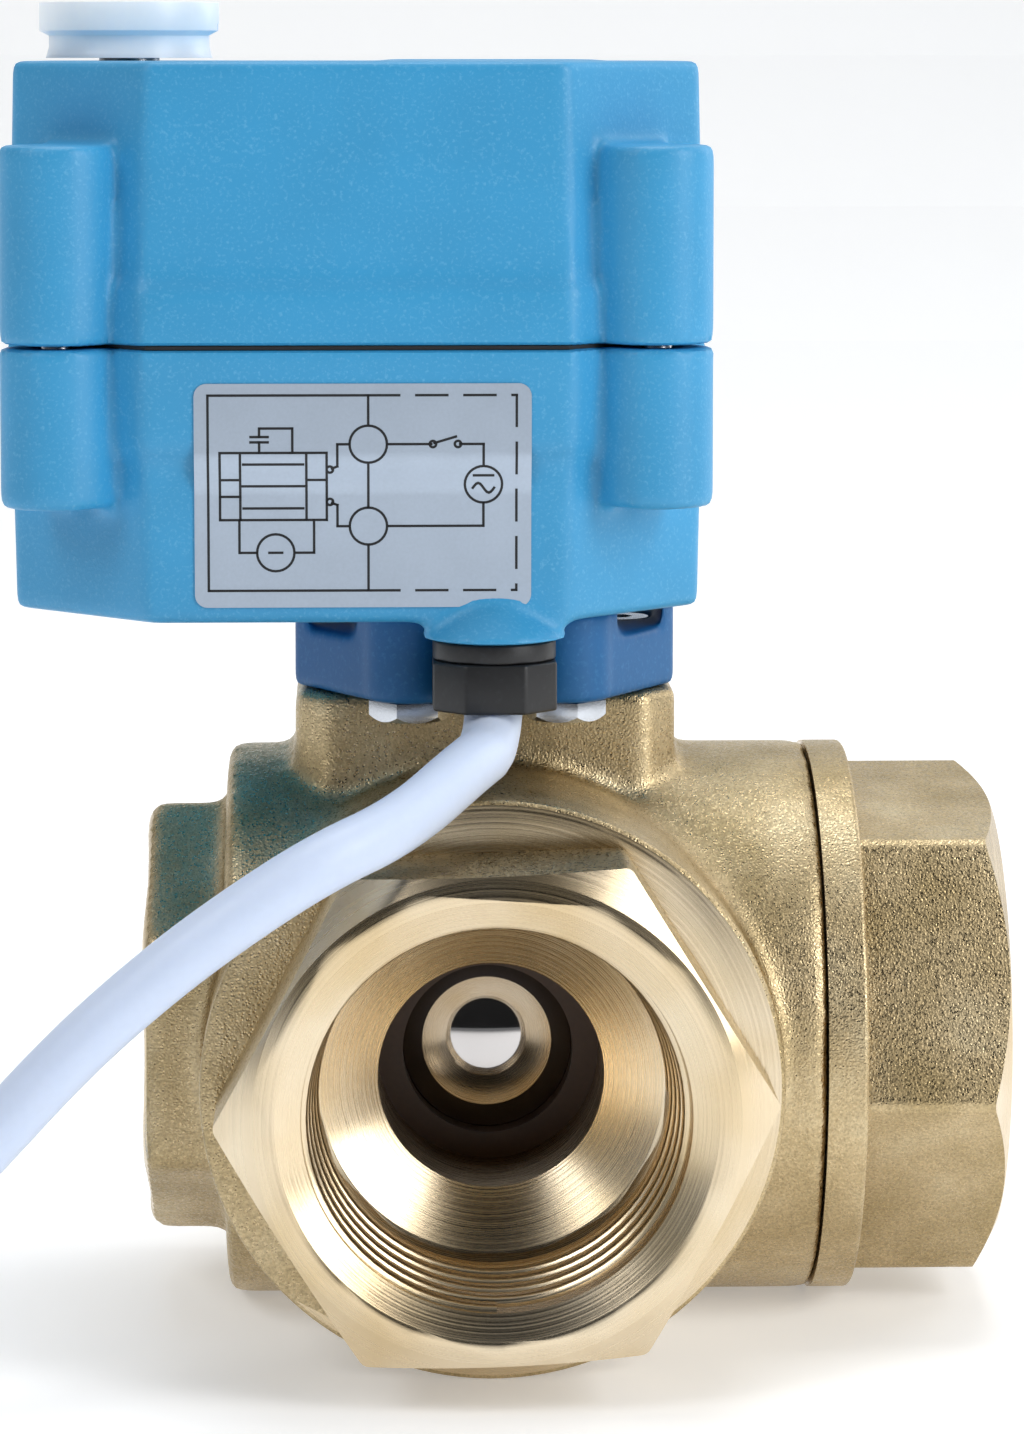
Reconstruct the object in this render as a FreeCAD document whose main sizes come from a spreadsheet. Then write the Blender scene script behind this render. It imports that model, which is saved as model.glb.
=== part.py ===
"""Motorised three-way ball valve: brass body, ball and caps, blue plastic actuator with its gear train.

Every shape is drawn in valve coordinates in millimetres: the port axes cross the stem axis at zero, X runs
along the straight way, -Y points out of the branch port and Z goes up the stem. A placement on each sub-part
then moves the whole valve so that zero is at the middle of its base.
"""
import FreeCAD, Part
import Sketcher
import math
import os
import re

DIMENSIONS = {
    # brass body and its ports
    "body_radius": 27.4, "body_left": 25.5, "seam": 32.3, "flange_end": 36.2, "cap_end": 49.4, "right_end": 50.6,
    "bevel_slope": 0.577, "cap_flats": 45.0, "left_flats": 38.0, "left_end": 33.6, "thread_radius": 16.62, "thread_start": 34.6,
    "mouth_radius": 20.2, "mouth_depth": 2.5, "bore_radius": 10.75, "shoulder": 29.0, "relief_start": 32.4,
    "left_thread": 12.5, "spigot_radius": 22.0, "spigot_end": 23.5, "nose_radius": 14.0,
    "neck_half": 18.7, "neck_depth": 12.6, "neck_top": 34.3, "collar_top": 40.0, "collar_radius": 8.5,
    # ball, seats and stem
    "ball_radius": 16.5, "ball_bore": 8.25, "seat_radius": 11.5, "seat_front": 11.85, "seat_back": 17.2,
    "cavity_radius": 17.6, "stem_radius": 5.0, "running_gap": 0.05, "stem_flange": 7.1, "flange_low": 17.8,
    "flange_top": 20.0, "washer_top": 21.0, "drive_square": 6.0, "drive_top": 47.0, "slot_floor": 13.4,
    "slot_width": 4.1,
    # mounting bracket and its fasteners
    "bracket_top": 43.0, "boss_x": 7.5, "boss_y": 17.0, "boss_radius": 4.6, "bolt_radius": 2.0,
    "bolt_flats": 7.0, "bolt_head": 1.9, "bolt_top": 47.3, "pad_screw_x": 13.6,
    # actuator housing
    "housing_shift": 12.5, "half_x": 33.6, "side_draft": 0.3, "half_y": 30.0, "corner": 13.3, "wall": 2.0,
    "parting": 69.1, "joint_gap": 0.35, "low_step": 59.0, "low_band": 59.4, "high_band": 74.6, "high_step": 75.2,
    "housing_top": 96.0, "floor_top": 45.5, "bottom_inset": 1.7, "step_inset": 1.14, "band_inset": 0.34,
    "tower_x": 28.3, "tower_y": 25.0, "tower_radius": 5.4, "tower_low": 53.7, "tower_high": 88.0,
    "screw_radius": 1.45, "screw_head": 3.3,
    # cable gland and label
    "gland_x": 0.4, "gland_y": 25.7, "gland_boss": 7.4, "boss_end": 44.5, "gland_top": 41.3, "gland_collar": 39.4,
    "gland_low": 34.7, "gland_half": 5.85, "gland_corner": 3.0, "cable_radius": 2.75,
    "label_low": 44.6, "label_high": 65.8, "label_width": 31.6, "label_shift": 12.0, "label_thick": 0.15,
    # gear train
    "plate_low": 60.0, "plate_top": 61.5, "idler_x": -17.5, "idler_y": 4.21, "reducer_x": -20.0,
    "reducer_y": -9.97, "motor_x": -9.6, "motor_y": -15.97, "knob_x": -35.0, "knob_y": 0.0,
    "axle_radius": 1.0, "coarse_module": 0.6, "fine_module": 0.5, "shaft_radius": 6.5, "upper_shaft": 4.0,
    "motor_radius": 9.8, "motor_top": 86.0, "knob_shaft": 3.0, "board_low": 88.2, "board_top": 89.8,
    # manual knob
    "knob_low": 96.1, "knob_neck": 7.95, "knob_step": 98.3, "knob_rim": 8.9, "knob_top": 101.6,
    # cable coil on the table
    "coil_x": -90.0, "coil_y": -18.5, "coil_outer": 38.2, "coil_inner": 21.8, "core_radius": 0.8,
}

# How far the whole valve moves so that zero is at the middle of its base.
FRAME_X = "(housing_shift + tower_x + tower_radius - right_end) / 2"
FRAME_Y = "(cap_end - tower_y - tower_radius) / 2"
FRAME_Z = "body_radius"

# Directions that a turned piece can point, as the turn that brings +Z there.
UP, TO_RIGHT, TO_LEFT, TO_FRONT, TO_BACK = "up", "right", "left", "front", "back"
TURNS = {
    UP: FreeCAD.Rotation(),
    TO_RIGHT: FreeCAD.Rotation(FreeCAD.Vector(0, 1, 0), 90),
    TO_LEFT: FreeCAD.Rotation(FreeCAD.Vector(0, 1, 0), -90),
    TO_FRONT: FreeCAD.Rotation(FreeCAD.Vector(1, 0, 0), 90),
    TO_BACK: FreeCAD.Rotation(FreeCAD.Vector(1, 0, 0), -90),
}

PRESSURE_ANGLE = math.radians(20.0)
ADDENDUM = 0.8
DEDENDUM = 1.15
BACKLASH = 0.10

doc = FreeCAD.newDocument("zone_valve")
sheet = doc.addObject("Spreadsheet::Sheet", "sheet")
for row, (alias, number) in enumerate(DIMENSIONS.items(), 1):
    sheet.set("A%d" % row, alias)
    sheet.set("B%d" % row, str(number))
    sheet.setAlias("B%d" % row, alias)
doc.recompute()
subparts = []


def size(alias):
    """A driving dimension, read from the sheet."""
    return float(sheet.get(alias))


def bind(feature, prop, text):
    """Tie a property to an expression in which the sheet's aliases stand as bare words."""
    words = re.sub(r"[a-z_]+", lambda word: "sheet." + word.group() if word.group() in DIMENSIONS
                   else word.group(), text)
    feature.setExpression(prop, words)


def place(feature, x="0", y="0", z="0", turn=UP, spin=0.0):
    """Give a feature its turn and its spin about its own axis, and tie its place to expressions."""
    about_axis = FreeCAD.Rotation(FreeCAD.Vector(0, 0, 1), spin)
    feature.Placement = FreeCAD.Placement(FreeCAD.Vector(), TURNS[turn].multiply(about_axis))
    for axis, text in zip("xyz", (x, y, z)):
        if text != "0":
            bind(feature, "Placement.Base." + axis, text)
    return feature


def cylinder(radius, low, high, x="0", y="0", turn=UP):
    """A cylinder from low to high along its direction, on the axis through x, y."""
    part = doc.addObject("Part::Cylinder", "round")
    bind(part, "Radius", radius)
    bind(part, "Height", "(%s) - (%s)" % (high, low))
    starts = {UP: (x, y, low), TO_RIGHT: (low, y, "0"), TO_LEFT: ("-(%s)" % low, y, "0"),
              TO_FRONT: (x, "-(%s)" % low, "0"), TO_BACK: (x, low, "0")}
    return place(part, *starts[turn], turn=turn)


def cone(low_radius, high_radius, low, high, x="0", y="0"):
    """An upright cone frustum from low to high."""
    part = doc.addObject("Part::Cone", "taper")
    bind(part, "Radius1", low_radius)
    bind(part, "Radius2", high_radius)
    bind(part, "Height", "(%s) - (%s)" % (high, low))
    return place(part, x, y, low)


def box(x_low, x_high, y_low, y_high, z_low, z_high):
    """A box between the given limits."""
    part = doc.addObject("Part::Box", "block")
    bind(part, "Length", "(%s) - (%s)" % (x_high, x_low))
    bind(part, "Width", "(%s) - (%s)" % (y_high, y_low))
    bind(part, "Height", "(%s) - (%s)" % (z_high, z_low))
    return place(part, x_low, y_low, z_low)


def hexagon(flats, low, high, x="0", y="0", spin=0.0):
    """An upright hexagonal bar, its first corner on +X before the spin in degrees."""
    part = doc.addObject("Part::Prism", "hexagon")
    part.Polygon = 6
    bind(part, "Circumradius", "(%s) / sqrt(3)" % flats)
    bind(part, "Height", "(%s) - (%s)" % (high, low))
    return place(part, x, y, low, spin=spin)


def fuse(*parts):
    """The union of several features."""
    union = doc.addObject("Part::MultiFuse", "union")
    union.Shapes = list(parts)
    return union


def common(*parts):
    """The space that several features share."""
    shared = doc.addObject("Part::MultiCommon", "shared")
    shared.Shapes = list(parts)
    return shared


def cut(base, *tools):
    """A feature with one or more others taken out of it."""
    rest = doc.addObject("Part::Cut", "rest")
    rest.Base = base
    rest.Tool = tools[0] if len(tools) == 1 else fuse(*tools)
    return rest


def group(*parts):
    """Several separate solids kept as one sub-part."""
    compound = doc.addObject("Part::Compound", "group")
    compound.Links = list(parts)
    return compound


def draw_polygon(sketch, points):
    """Draw a closed polygon whose corners are tied to expressions."""
    count = len(points)
    for index in range(count):
        start = FreeCAD.Vector(10 * math.cos(6.28 * index / count), 10 * math.sin(6.28 * index / count), 0)
        step = index + 1
        end = FreeCAD.Vector(10 * math.cos(6.28 * step / count), 10 * math.sin(6.28 * step / count), 0)
        sketch.addGeometry(Part.LineSegment(start, end), False)
    for index, (across, along) in enumerate(points):
        sketch.addConstraint(Sketcher.Constraint("Coincident", index, 2, (index + 1) % count, 1))
        for kind, text in (("DistanceX", across), ("DistanceY", along)):
            number = sketch.addConstraint(Sketcher.Constraint(kind, -1, 1, index, 1, 1.0))
            bind(sketch, "Constraints[%d]" % number, text)


def new_body(name):
    """An empty PartDesign body."""
    return doc.addObject("PartDesign::Body", name)


def body_sketch(body, role, points, height="0"):
    """A polygon sketch on one of the body's own origin planes, raised by height."""
    sketch = body.newObject("Sketcher::SketchObject", "outline")
    plane = [item for item in body.Origin.OriginFeatures if item.Role == role][0]
    sketch.AttachmentSupport = [(plane, "")]
    sketch.MapMode = "FlatFace"
    if height != "0":
        bind(sketch, "AttachmentOffset.Base.z", height)
    draw_polygon(sketch, points)
    return sketch


def turned(name, points):
    """A body revolved about Z from a half section of radius and height."""
    body = new_body(name)
    sketch = body_sketch(body, "XZ_Plane", points)
    solid = body.newObject("PartDesign::Revolution", "turning")
    solid.Profile = sketch
    solid.ReferenceAxis = (sketch, ["V_Axis"])
    solid.Angle = 360.0
    body.Tip = solid
    return body


def padded(name, points, low, high):
    """A body padded up from a polygon, from low to high."""
    body = new_body(name)
    solid = body.newObject("PartDesign::Pad", "pad")
    solid.Profile = body_sketch(body, "XY_Plane", points, low)
    bind(solid, "Length", "(%s) - (%s)" % (high, low))
    body.Tip = solid
    return body


def octagon(half_x, half_y, corner, height, shift="-housing_shift"):
    """A free sketch of a rectangle with cut corners at a height, for lofts."""
    sketch = doc.addObject("Sketcher::SketchObject", "section")
    points = []
    for sign_x, sign_y, first in ((1, 1, 0), (-1, 1, 1), (-1, -1, 0), (1, -1, 1)):
        side = ("%s + %d * (%s)" % (shift, sign_x, half_x), "%d * ((%s) - (%s))" % (sign_y, half_y, corner))
        end = ("%s + %d * ((%s) - (%s))" % (shift, sign_x, half_x, corner), "%d * (%s)" % (sign_y, half_y))
        points += [end, side] if first else [side, end]
    draw_polygon(sketch, points)
    bind(sketch, "Placement.Base.z", height)
    return sketch


def loft(*sections):
    """A straight-sided solid through several sections."""
    solid = doc.addObject("Part::Loft", "shell")
    solid.Sections = list(sections)
    solid.Solid = True
    solid.Ruled = True
    return solid


def subpart(name, feature, turn=UP, x="0", y="0", z="0"):
    """Name a finished sub-part and set it in the valve's frame."""
    feature.Label = name
    place(feature, FRAME_X + " + " + x, FRAME_Y + " + " + y, FRAME_Z + " + " + z, turn)
    subparts.append(feature)


def solid_subpart(name, shape):
    """Keep a shape made with Part's own functions as a sub-part."""
    feature = doc.addObject("Part::Feature", name)
    feature.Shape = shape
    subpart(name, feature)


# ---------------------------------------------------------------- brass body, caps and seats

def build_valve_body():
    """Forged body: straight barrel, branch, left hexagon port and stem neck, bored for ball and caps."""
    left_hexagon = hexagon("left_flats", "body_left - 8", "left_end")
    bevel = cone("left_flats * 1.2", "left_flats * 0.535", "body_left - 8", "left_end")
    left_port = common(left_hexagon, bevel)
    place(left_port, turn=TO_LEFT)
    neck = padded("neck", [("neck_half - 3", "-neck_depth"), ("neck_half", "3 - neck_depth"),
                           ("neck_half", "neck_depth - 3"), ("neck_half - 3", "neck_depth"),
                           ("3 - neck_half", "neck_depth"), ("-neck_half", "neck_depth - 3"),
                           ("-neck_half", "3 - neck_depth"), ("3 - neck_half", "-neck_depth")],
                  "5", "neck_top")
    outside = fuse(cylinder("body_radius", "-body_left", "seam", turn=TO_RIGHT),
                   cylinder("body_radius - 0.1", "0", "seam", turn=TO_FRONT),
                   left_port, neck, cylinder("collar_radius", "30", "collar_top"))
    chamber = doc.addObject("Part::Sphere", "chamber")
    bind(chamber, "Radius", "cavity_radius")
    mouth = cone("thread_radius - 0.5", "thread_radius + 1.0", "left_end - 1.4", "left_end + 0.1")
    mouth_left = group(mouth)
    place(mouth_left, turn=TO_LEFT)
    inside = [chamber,
              cylinder("seat_back - 0.15", "0", "spigot_end + 0.1", turn=TO_RIGHT),
              cylinder("spigot_radius + running_gap", "spigot_end", "seam + 1", turn=TO_RIGHT),
              cylinder("nose_radius + running_gap", "0", "spigot_end + 0.1", turn=TO_FRONT),
              cylinder("spigot_radius + running_gap", "spigot_end", "seam + 1", turn=TO_FRONT),
              cylinder("seat_radius + running_gap", "10", "seat_back", turn=TO_LEFT),
              cylinder("bore_radius", "10", "left_end - 5", turn=TO_LEFT),
              cylinder("thread_radius", "left_end - left_thread", "left_end + 1", turn=TO_LEFT),
              mouth_left,
              cylinder("stem_radius + running_gap", "15", "collar_top + 1"),
              cylinder("stem_flange + 0.1", "14", "washer_top")]
    screw_holes = [cylinder("1.5", "neck_top - 7", "neck_top + 1", "%d * pad_screw_x" % side)
                   for side in (-1, 1)]
    subpart("valve_body", cut(outside, *inside, *screw_holes))


def build_end_cap(name, turn, spin, nose, end):
    """Screwed-in end cap: spigot and nose inside, round flange and hexagon outside, threaded mouth."""
    bar = hexagon("cap_flats", "flange_end - 1", end, spin=spin)
    wide, face = "cap_flats * 0.65", "cap_flats * 0.495"
    bevel = turned(name + "_bevel", [("0", "flange_end - 1"), (wide, "flange_end - 1"),
                                     (wide, "%s - bevel_slope * (%s - %s)" % (end, wide, face)), (face, end),
                                     ("0", end)])
    outside = fuse(common(bar, bevel), cylinder("body_radius", "seam + 0.02", "flange_end"),
                   cylinder("spigot_radius", "spigot_end + 0.1", "seam + 1"),
                   cylinder(nose, "seat_back", "seam"))
    way = turned(name + "_way", [("0", "seat_back - 1"), ("bore_radius", "seat_back - 1"),
                                 ("bore_radius", "shoulder"), ("thread_radius - 0.4", "relief_start"),
                                 ("thread_radius + 0.3", "relief_start"), ("thread_radius + 0.3", "thread_start"),
                                 ("thread_radius", "thread_start"),
                                 ("thread_radius", end + " - mouth_depth"),
                                 ("mouth_radius", end), ("mouth_radius", end + " + 1"),
                                 ("0", end + " + 1")])
    subpart(name, cut(outside, way), turn)


def build_seat(name, turn):
    """Ring that seals a port against the ball: its inner face is cut to the ball's curve."""
    ring = cut(cylinder("seat_radius", "seat_front", "seat_back - 0.05"),
               cylinder("ball_bore", "seat_front - 1", "seat_back + 1"))
    ball_space = doc.addObject("Part::Sphere", "ball_space")
    bind(ball_space, "Radius", "ball_radius + running_gap")
    subpart(name, cut(ring, ball_space), turn)


def build_ball():
    """Ball with a straight bore and a side bore away from the branch port, slotted for the stem."""
    ball = doc.addObject("Part::Sphere", "ball_blank")
    bind(ball, "Radius", "ball_radius")
    subpart("ball", cut(ball, cylinder("ball_bore", "-20", "20", turn=TO_RIGHT),
                        cylinder("ball_bore", "0", "20", turn=TO_BACK),
                        box("-10", "10", "-slot_width / 2", "slot_width / 2", "slot_floor", "20")))


def build_stem():
    """Stem with a tang in the ball's slot, a thrust flange, two ring grooves and a square drive."""
    tang = box("-6.2", "6.2", "0.05 - slot_width / 2", "slot_width / 2 - 0.05", "slot_floor + 0.2",
               "flange_low + 0.5")
    grooves = [cut(cylinder("stem_radius + 1", low, low + " + 1.5"), cylinder("3.5", low, low + " + 1.5"))
               for low in ("24.0", "28.0")]
    shaft = cut(cylinder("stem_radius", "flange_low", "39.8"), *grooves)
    square = box("-drive_square / 2", "drive_square / 2", "-drive_square / 2", "drive_square / 2", "39",
                 "drive_top")
    subpart("stem", fuse(tang, cylinder("stem_flange", "flange_low", "flange_top"), shaft, square))
    rings = []
    for height in ("24.75", "28.75"):
        ring = doc.addObject("Part::Torus", "ring")
        bind(ring, "Radius1", "4.24")
        bind(ring, "Radius2", "0.7")
        rings.append(place(ring, z=height))
    subpart("stem_orings", group(*rings))
    subpart("thrust_washer", cut(cylinder("stem_flange", "flange_top + 0.05", "washer_top - 0.02"),
                                 cylinder("stem_radius + 0.1", "flange_top", "washer_top")))


def build_cap_gaskets():
    """Flat fibre rings behind the two cap spigots."""
    rings = []
    for turn, nose in ((TO_RIGHT, "seat_back - 0.1"), (TO_FRONT, "nose_radius + 0.1")):
        ring = cut(cylinder("spigot_radius - 0.2", "spigot_end + 0.01", "spigot_end + 0.09"),
                   cylinder(nose, "spigot_end", "spigot_end + 1"))
        place(ring, turn=turn)
        rings.append(ring)
    subpart("cap_gaskets", group(*rings))


# ---------------------------------------------------------------- bracket and fasteners

def corners_of(x, y):
    """The four places mirrored from one in both directions, as expressions."""
    return [("%d * %s" % (sign_x, x), "%d * %s" % (sign_y, y)) for sign_x in (-1, 1) for sign_y in (-1, 1)]


def build_bracket():
    """Blue bracket: ring of slanted walls between the neck pad and the actuator, with four bolt bosses."""
    outline = []
    for sign_x, sign_y in ((1, -1), (1, 1), (-1, 1), (-1, -1)):
        side = ("%d * neck_half" % sign_x, "%d * 7" % sign_y)
        boss = ("%d * (boss_x + boss_radius * 0.7)" % sign_x, "%d * (boss_y + boss_radius * 0.7)" % sign_y)
        nose = ("%d * (boss_x - 0.5)" % sign_x, "%d * (boss_y + 2.5)" % sign_y)
        outline += [nose, boss, side] if sign_x * sign_y < 0 else [side, boss, nose]
    plate = padded("bracket_plate", outline, "neck_top", "bracket_top")
    bosses = [cylinder("boss_radius", "neck_top", "bracket_top", x, y) for x, y in corners_of("boss_x", "boss_y")]
    holes = [cylinder("bolt_radius + 0.1", "neck_top - 1", "bracket_top + 1", x, y)
             for x, y in corners_of("boss_x", "boss_y")]
    wells = []
    for side in (-1, 1):
        place_x = "%d * pad_screw_x" % side
        wells += [cylinder("1.6", "neck_top - 1", "bracket_top + 1", place_x),
                  cylinder("3.2", "neck_top + 3", "bracket_top + 1", place_x)]
    windows = [box("%s - 2.4" % x, "%s + 2.4" % x, "-24", "24", "bracket_top - 2.6", "bracket_top + 1")
               for x in ("-15", "15")]
    centre = cylinder("collar_radius + 0.1", "neck_top - 1", "bracket_top + 1")
    cable_room = cone("gland_boss + 0.15", "3.75", "gland_top - 0.1", "boss_end", "gland_x", "-gland_y")
    subpart("mounting_bracket", cut(fuse(plate, *bosses), centre, cable_room, *holes, *wells, *windows))


def build_fasteners():
    """Hexagon bolts up through the bracket, and socket screws down into the neck pad."""
    bolts = []
    for index, (x, y) in enumerate(corners_of("boss_x", "boss_y")):
        head = common(hexagon("bolt_flats", "neck_top - bolt_head", "neck_top - 0.02", x, y, 11.0 + 17 * index),
                      cone("bolt_flats * 0.5", "bolt_flats * 0.5 + 6", "neck_top - bolt_head",
                           "neck_top - bolt_head + 6", x, y))
        bolts.append(fuse(head, cylinder("bolt_radius", "neck_top - 0.5", "bolt_top", x, y)))
    subpart("bracket_bolts", group(*bolts))
    screws = []
    for side in (-1, 1):
        x = "%d * pad_screw_x" % side
        body = fuse(cylinder("3.0", "neck_top + 3.02", "neck_top + 6", x),
                    cylinder("1.45", "neck_top - 6", "neck_top + 4", x))
        screws.append(cut(body, hexagon("2.5", "neck_top + 4.2", "neck_top + 7", x)))
    subpart("pad_screws", group(*screws))


# ---------------------------------------------------------------- housing

def tower_places():
    """Centres of the four screw towers."""
    return [("%d * tower_x - housing_shift" % sign_x, "%d * tower_y" % sign_y)
            for sign_x in (-1, 1) for sign_y in (-1, 1)]


def build_lower_housing():
    """Open tray with drafted walls, a floor, four screw towers and the cable boss."""
    outside = loft(octagon("half_x - 2 * side_draft", "half_y - bottom_inset", "corner", "bracket_top"),
                   octagon("half_x - side_draft", "half_y - step_inset", "corner", "low_step"),
                   octagon("half_x - side_draft / 2", "half_y - band_inset", "corner", "low_band"),
                   octagon("half_x", "half_y", "corner", "parting - joint_gap / 2"))
    inside = loft(octagon("half_x - wall - 0.9", "half_y - wall - 0.9", "corner - 1", "floor_top"),
                  octagon("half_x - wall", "half_y - wall", "corner - 1", "parting + 0.01"))
    towers = [cylinder("tower_radius", "tower_low", "parting - joint_gap / 2", x, y) for x, y in tower_places()]
    pillars = [cylinder("4.0", "bracket_top", "bolt_top + 0.9", x, y) for x, y in corners_of("boss_x", "boss_y")]
    cable_boss = cone("gland_boss", "3.6", "gland_top", "boss_end", "gland_x", "-gland_y")
    holes = [cylinder("bolt_radius + 0.05", "bracket_top - 1", "bolt_top + 0.1", x, y)
             for x, y in corners_of("boss_x", "boss_y")]
    for x, y in tower_places():
        holes += [cylinder("screw_radius + 0.3", "tower_low - 1", "parting + 1", x, y),
                  cylinder("screw_head + 0.2", "tower_low - 1", "tower_low + 4", x, y)]
    holes += [cylinder("shaft_radius + 2", "bracket_top - 1", "floor_top + 1"),
              cylinder("cable_radius + 0.1", "gland_top - 1", "boss_end - 0.6", "gland_x", "-gland_y"),
              box("gland_x - 2.6", "gland_x + 2.6", "-gland_y", "3.3 - gland_y", "bracket_top", "floor_top + 1")]
    shell = cut(fuse(outside, *towers), inside)
    subpart("lower_housing", cut(fuse(shell, cable_boss, *pillars), *holes))


def build_upper_housing():
    """Deep cover with drafted walls, a flat top with a faint raised pad, and the knob's hole."""
    outside = loft(octagon("half_x", "half_y", "corner", "parting + joint_gap / 2"),
                   octagon("half_x - side_draft / 4", "half_y - band_inset / 2", "corner", "high_band"),
                   octagon("half_x - side_draft / 2", "half_y - step_inset", "corner", "high_step"),
                   octagon("half_x - 2 * side_draft", "half_y - bottom_inset", "corner", "housing_top - 0.15"))
    inside = loft(octagon("half_x - wall", "half_y - wall", "corner - 1", "parting - 0.01"),
                  octagon("half_x - wall - 2.2", "half_y - wall - 2.2", "corner - 1", "housing_top - wall"))
    towers = [cylinder("tower_radius", "parting + joint_gap / 2", "tower_high", x, y) for x, y in tower_places()]
    pad = box("3 - housing_shift", "23 - housing_shift", "-21", "21", "housing_top - 1", "housing_top")
    holes = [cylinder("screw_radius + 0.05", "parting - 1", "tower_high - 5", x, y) for x, y in tower_places()]
    holes.append(cylinder("knob_shaft + 0.06", "housing_top - 4", "housing_top + 1", "knob_x", "knob_y"))
    subpart("upper_housing", cut(fuse(cut(fuse(outside, *towers), inside), pad), *holes))


def build_housing_joint():
    """Dark gasket in the parting line, and the four screws that hold the cover from below."""
    low, high = "parting - joint_gap / 2 + 0.01", "parting + joint_gap / 2 - 0.01"
    outer = loft(octagon("half_x - 0.5", "half_y - 0.5", "corner", low),
                 octagon("half_x - 0.5", "half_y - 0.5", "corner", high))
    inner = loft(octagon("half_x - wall", "half_y - wall", "corner - 1", "parting - 1"),
                 octagon("half_x - wall", "half_y - wall", "corner - 1", "parting + 1"))
    subpart("housing_gasket", cut(outer, inner))
    screws = []
    for x, y in tower_places():
        body = fuse(cylinder("screw_head", "tower_low + 1.4", "tower_low + 3.98", x, y),
                    cylinder("screw_radius", "tower_low + 3", "tower_high - 6", x, y))
        slots = [box("%s - %s" % (x, half_x), "%s + %s" % (x, half_x), "%s - %s" % (y, half_y),
                     "%s + %s" % (y, half_y), "tower_low", "tower_low + 2.8")
                 for half_x, half_y in (("1.9", "0.4"), ("0.4", "1.9"))]
        screws.append(cut(body, *slots))
    subpart("cover_screws", group(*screws))


def build_gland():
    """Black cable gland: round collar under the housing, faceted nut with a bore for the cable."""
    collar = fuse(cylinder("gland_half", "gland_collar + 0.02", "gland_top - 0.02", "gland_x", "-gland_y"),
                  cylinder("4.4", "gland_low + 1.5", "gland_top - 1", "gland_x", "-gland_y"))
    subpart("cable_gland", cut(collar, cylinder("cable_radius + 0.1", "gland_low", "gland_top + 1", "gland_x",
                                                "-gland_y")))
    near, far = "gland_half", "(gland_half - gland_corner)"
    points = [(near, far), (far, near), ("-" + far, near), ("-" + near, far),
              ("-" + near, "-" + far), ("-" + far, "-" + near), (far, "-" + near), (near, "-" + far)]
    centred = [("gland_x + " + x, y + " - gland_y") for x, y in points]
    nut = padded("nut_blank", centred, "gland_low", "gland_collar")
    subpart("gland_nut", cut(nut, cylinder("4.45", "gland_low + 1.4", "gland_top", "gland_x", "-gland_y"),
                             cylinder("cable_radius + 0.6", "gland_low - 1", "gland_low + 2", "gland_x",
                                      "-gland_y")))


def build_label():
    """Silver wiring label that follows the front wall over its step."""
    body = new_body("label")
    face = [("label_low", "half_y - bottom_inset + 0.055"), ("low_step", "half_y - step_inset"),
            ("low_band", "half_y - band_inset"), ("label_high", "half_y - 0.115")]
    points = [("-(%s + 0.01)" % depth, height) for height, depth in face]
    points += [("-(%s + label_thick)" % depth, height) for height, depth in reversed(face)]
    pad = body.newObject("PartDesign::Pad", "sheet_metal")
    pad.Profile = body_sketch(body, "YZ_Plane", points)
    pad.Midplane = True
    bind(pad, "Length", "label_width")
    body.Tip = pad
    subpart("wiring_label", body, x="(-label_shift)")


# ---------------------------------------------------------------- gear train

def involute_flank(base_radius, root_radius, tip_radius, half_angle):
    """Points of one flank from root to tip, as radius and angle, for a tooth centred on angle zero."""
    points = [(root_radius, half_angle + 0.02)]
    for step in range(5):
        radius = max(base_radius, root_radius) + (tip_radius - max(base_radius, root_radius)) * step / 4
        alpha = math.acos(min(1.0, base_radius / radius))
        points.append((radius, half_angle - (math.tan(alpha) - alpha)))
    return points


def gear(teeth, module, low, high, x, y, first_tooth, bore):
    """A spur gear blank with involute teeth, its first tooth at an angle in degrees."""
    pitch = module * teeth / 2
    base = pitch * math.cos(PRESSURE_ANGLE)
    inv_alpha = math.tan(PRESSURE_ANGLE) - PRESSURE_ANGLE
    half_angle = math.pi / 2 / teeth - BACKLASH / 2 / pitch + inv_alpha
    flank = involute_flank(base, pitch - DEDENDUM * module, pitch + ADDENDUM * module, half_angle)
    points = []
    for tooth in range(teeth):
        centre = math.radians(first_tooth) + 2 * math.pi * tooth / teeth
        spots = [(radius, centre - angle) for radius, angle in flank]
        spots += [(radius, centre + angle) for radius, angle in reversed(flank)]
        points += [FreeCAD.Vector(x + radius * math.cos(angle), y + radius * math.sin(angle), low)
                   for radius, angle in spots]
    wheel = Part.Face(Part.makePolygon(points + points[:1])).extrude(FreeCAD.Vector(0, 0, high - low))
    return wheel.cut(Part.makeCylinder(bore, high - low + 2, FreeCAD.Vector(x, y, low - 1)))


def meshing_tooth(centre, teeth, first_tooth, other_centre, other_teeth):
    """First-tooth angle of a second gear so that its gap meets the first gear's tooth."""
    direction = math.degrees(math.atan2(other_centre[1] - centre[1], other_centre[0] - centre[0]))
    phase = (direction - first_tooth) * teeth / 360.0
    return direction + 180.0 - (0.5 - phase) * 360.0 / other_teeth


def collar_shape(radius, bore, low, high, x, y):
    """A plain round sleeve."""
    sleeve = Part.makeCylinder(radius, high - low, FreeCAD.Vector(x, y, low))
    return sleeve.cut(Part.makeCylinder(bore, high - low + 2, FreeCAD.Vector(x, y, low - 1)))


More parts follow.
